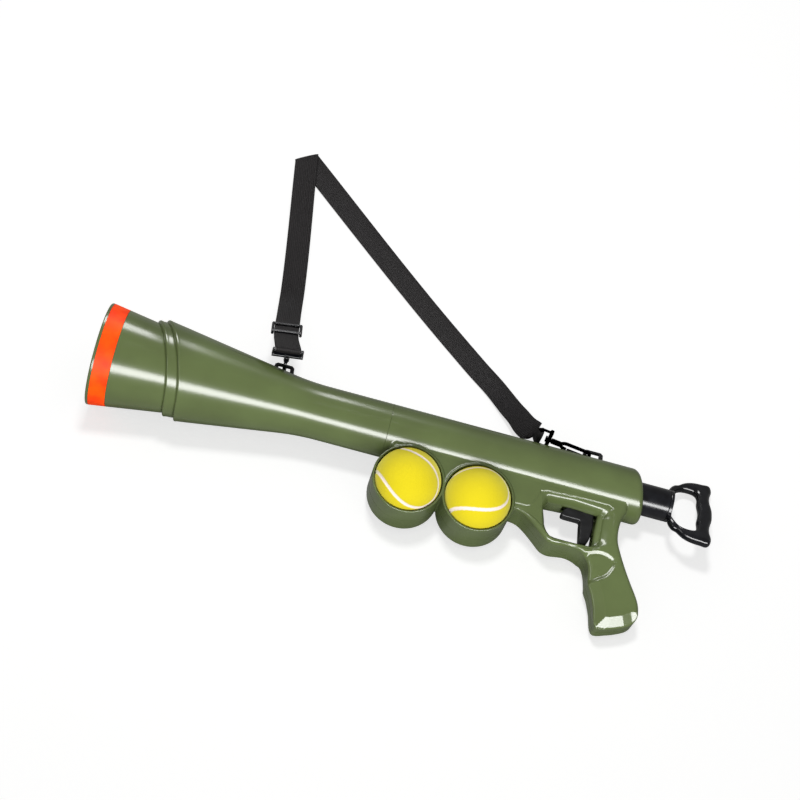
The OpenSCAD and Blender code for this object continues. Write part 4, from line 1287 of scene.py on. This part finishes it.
front_bar = local_bar(hang_front, FRONT_LOOP_TURN, -1)
if front_bar[0][0] > front_bar[1][0]:
    front_bar = front_bar[::-1]
rear_bar = local_bar(draw_rear, REAR_LOOP_TURN, 1)
if rear_bar[0][2] > rear_bar[1][2]:
    rear_bar = rear_bar[::-1]
front_leg = on_ground(FRONT_LEG)
rear_leg = on_ground(REAR_LEG)
up_way = np.array([0, 0, 1.0])
start_rows = round_the_bar(front_bar, front_leg[0], 1)
end_rows = round_the_bar(rear_bar, rear_leg[-1], -1)
run_one = smooth_rows(start_rows[-1:] + [(a, b, up_way) for a, b in front_leg])
turn_rows = []
for angle in np.radians(np.arange(20, 161, 20)):
    out = up_way * math.cos(angle) + FOLD_OUT * math.sin(angle)
    lift = up_way * FOLD_DROP * math.cos(angle)
    a, b = front_leg[-1]
    drop = up_way * FOLD_DROP
    turn_rows.append((a - drop + lift, b - drop + lift, out))
run_two = smooth_rows([(a, b, -up_way) for a, b in rear_leg] + end_rows[-1:])
rows = [np.array(r) for r in start_rows[:-1]] + run_one + [np.array(r) for r in turn_rows] + run_two
rows += [np.array(r) for r in end_rows[-2::-1]]
print("strap rows:", len(rows), "front bar", np.round(front_bar, 1).tolist())

# %% [markdown]
# The cross section is a flat oval: thicker in the middle, with a rounded selvedge. A slow, very small wave
# across the strap keeps it from looking like sheet metal.

# %% Strap mesh
ACROSS = np.linspace(0, 1, 11)


def strap_mesh(rows):
    """Points, faces, run and width of the ribbon: its inner side, then its outer side back again."""
    mids = np.array([(r[0] + r[1]) / 2 for r in rows])
    run = np.concatenate([[0], np.cumsum(np.linalg.norm(np.diff(mids, axis=0), axis=1))])
    points, runs, widths = [], [], []
    for r, s in zip(rows, run):
        a, b, out = r
        out = unit(out - unit(b - a) * (out @ unit(b - a)))
        bulge = np.sin(np.pi * ACROSS) ** 0.35
        sway = 0.12 * np.sin(s / 23 + 5 * ACROSS)
        inner = a + (b - a) * ACROSS[:, None] + out * (WEB_T / 2 * (1 - bulge) + 0.15 * (1 + sway))[:, None]
        outer = a + (b - a) * ACROSS[:, None] + out * (WEB_T / 2 * (1 + bulge) + 0.15 * sway)[:, None]
        points += [inner, outer[::-1][1:-1]]
        widths += [ACROSS * WEB_W, ACROSS[::-1][1:-1] * WEB_W]
        runs.append(np.full(2 * len(ACROSS) - 2, s))
    ring = 2 * len(ACROSS) - 2
    i, k = np.meshgrid(np.arange(len(rows) - 1), np.arange(ring), indexing="ij")
    m = (k + 1) % ring
    quads = np.stack([i * ring + k, i * ring + m, (i + 1) * ring + m, (i + 1) * ring + k], 2).reshape(-1, 4)
    caps = [list(range(ring))[::-1], [(len(rows) - 1) * ring + k for k in range(ring)]]
    points, runs, widths = (np.concatenate(parts) for parts in (points, runs, widths))
    return points / 1000, quads.tolist() + caps, runs, widths, run[-1]


points, faces, runs, widths, strap_length = strap_mesh(rows)
strap = new_piece(
    "strap_webbing_ribbon", points, faces, "launcher", ["strap_webbing"], woven_strap
)
strap.data.set_sharp_from_angle(angle=math.radians(60))
store(strap, "run_mm", runs)
store(strap, "across_mm", widths)
print("strap is", round(strap_length), "mm long")

# %% [markdown]
# When the rear hook swings up, it takes the end of the real strap along, and the webbing bends over a hand's
# length. Here the strap is only taken off the launcher's body, with its place baked into its points.

strap.parent = None
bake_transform(strap)

# %% [markdown]
# ## The parts inside
# The spring, rod, piston, sear and pins are the CAD model's own solids. They show through the mouth, the
# trigger opening and the rear end, or when a pose draws the tube out, so each gets its real finish.
# Round parts are shaded smooth except at edges sharper than 35 degrees.

# %% Finishes of the inner parts
INNER = {
    "guide_tube": white_nylon,
    "piston": white_nylon,
    "piston_pad": dark_rubber,
    "bumper_ring": dark_rubber,
    "rear_bushing": black_nylon,
    "spring_stop": black_nylon,
    "sear": black_nylon,
}
shown = [name for name, node in nodes.items() if not node.hide_render]
for name in shown:
    mesh = nodes[name].data
    mesh.materials.clear()
    mesh.materials.append(INNER.get(name, zinc_steel))
    mesh.shade_smooth()
    mesh.set_sharp_from_angle(angle=math.radians(35))
print("CAD solids shown:", ", ".join(sorted(shown)))

# %% [markdown]
# ## Floor and light
# The launcher lies on a white sweep. The floor is pale paper, and for the camera a plain white glow is added
# to it, so that only a faint shadow stays, as in a catalogue picture. A small lamp high above casts that
# shadow. Three soft boxes light the object but not the floor: a long strip on the grip's side, which draws
# the bright line along the lower side of the barrel, one on the far side for the upper line, and a weak
# one beyond the mouth.

# %% Floor
FLOOR_SIZE = 4.0
SHADOW_SHARE = 0.3
floor_mesh = bpy.data.meshes.new("paper_floor")
corner = FLOOR_SIZE / 2
floor_z = GROUND / 1000 - 0.0002
corners = [(0.3 + sx * corner, sy * corner, floor_z) for sx, sy in ((-1, -1), (1, -1), (1, 1), (-1, 1))]
floor_mesh.from_pydata(corners, [], [(0, 1, 2, 3)])
floor = bpy.data.objects.new("paper_floor", floor_mesh)
bpy.context.scene.collection.objects.link(floor)
paper, tree = new_finish("white_paper_matt")
spot = add_node(tree, "ShaderNodeTexCoord")
pulp = add_node(
    tree, "ShaderNodeTexNoise", {"Vector": spot.outputs["Object"], "Scale": per_mm(3), "Detail": 3}
)
tint = add_node(tree, "ShaderNodeValToRGB", {"Fac": pulp.outputs["Fac"]})
tint.color_ramp.elements[0].color = hex_colour("c9c9c8")
tint.color_ramp.elements[1].color = hex_colour("cdcdcc")
matt = add_node(tree, "ShaderNodeBsdfDiffuse", {"Color": tint.outputs["Color"]})
ray = add_node(tree, "ShaderNodeLightPath")
glow = add_node(
    tree,
    "ShaderNodeMapRange",
    {"Value": ray.outputs["Is Camera Ray"], "To Min": 0.0, "To Max": 1 - SHADOW_SHARE},
)
white = add_node(tree, "ShaderNodeEmission", {"Color": (1, 1, 1, 1), "Strength": glow.outputs["Result"]})
both = add_node(tree, "ShaderNodeAddShader", {0: matt.outputs["BSDF"], 1: white.outputs["Emission"]})
add_node(tree, "ShaderNodeOutputMaterial", {"Surface": both.outputs["Shader"]})
floor_mesh.materials.append(paper)
print("floor is", FLOOR_SIZE, "m wide at", round(floor_z, 4), "m")


# %% Soft boxes
def soft_box(name, at, aim, size, power):
    """An area lamp, in metres, that looks at a point."""
    lamp = bpy.data.lights.new(name, "AREA")
    lamp.shape = "RECTANGLE"
    lamp.size, lamp.size_y = size
    lamp.energy = power
    box = bpy.data.objects.new(name, lamp)
    box.location = at
    box.rotation_mode = "QUATERNION"
    box.rotation_quaternion = (Vector(aim) - Vector(at)).to_track_quat("-Z", "Y")
    bpy.context.scene.collection.objects.link(box)
    return box


middle = (0.3, 0.0, 0.0)
key = soft_box("overhead_box", (0.15, 0.3, 1.9), middle, (0.3, 0.3), 12)
key.visible_glossy = False
unlit = bpy.data.collections.new("floor_out_of_the_strips")
unlit.objects.link(floor)
unlit.collection_objects[0].light_linking.link_state = "EXCLUDE"
strips = [
    soft_box("grip_side_strip", (0.62, -1.05, 0.76), (0.5, 0, 0), (1.9, 0.42), 46),
    soft_box("far_side_strip", (-0.15, 1.0, 0.78), (0.1, 0, 0), (0.9, 0.4), 16),
    soft_box("mouth_side_box", (-0.9, -0.35, 0.75), middle, (0.4, 0.4), 2),
]
for strip in strips:
    strip.light_linking.receiver_collection = unlit
print("lamps:", key.name, *(strip.name for strip in strips))

# %% [markdown]
# The world is white for the camera and weaker for the object, so the background stays white while the
# plastic keeps its depth. Standard view keeps the colours as they are written.

# %% World and view
world = bpy.data.worlds.new("studio")
bpy.context.scene.world = world
world.use_nodes = True
tree = world.node_tree
tree.nodes.clear()
ray = add_node(tree, "ShaderNodeLightPath")
power = add_node(
    tree,
    "ShaderNodeMapRange",
    {"Value": ray.outputs["Is Camera Ray"], "From Min": 0, "From Max": 1, "To Min": 0.24, "To Max": 1.0},
)
sky = add_node(tree, "ShaderNodeBackground", {"Color": (1, 1, 1, 1), "Strength": power.outputs["Result"]})
add_node(tree, "ShaderNodeOutputWorld", {"Surface": sky.outputs["Background"]})
bpy.context.scene.view_settings.view_transform = "Standard"
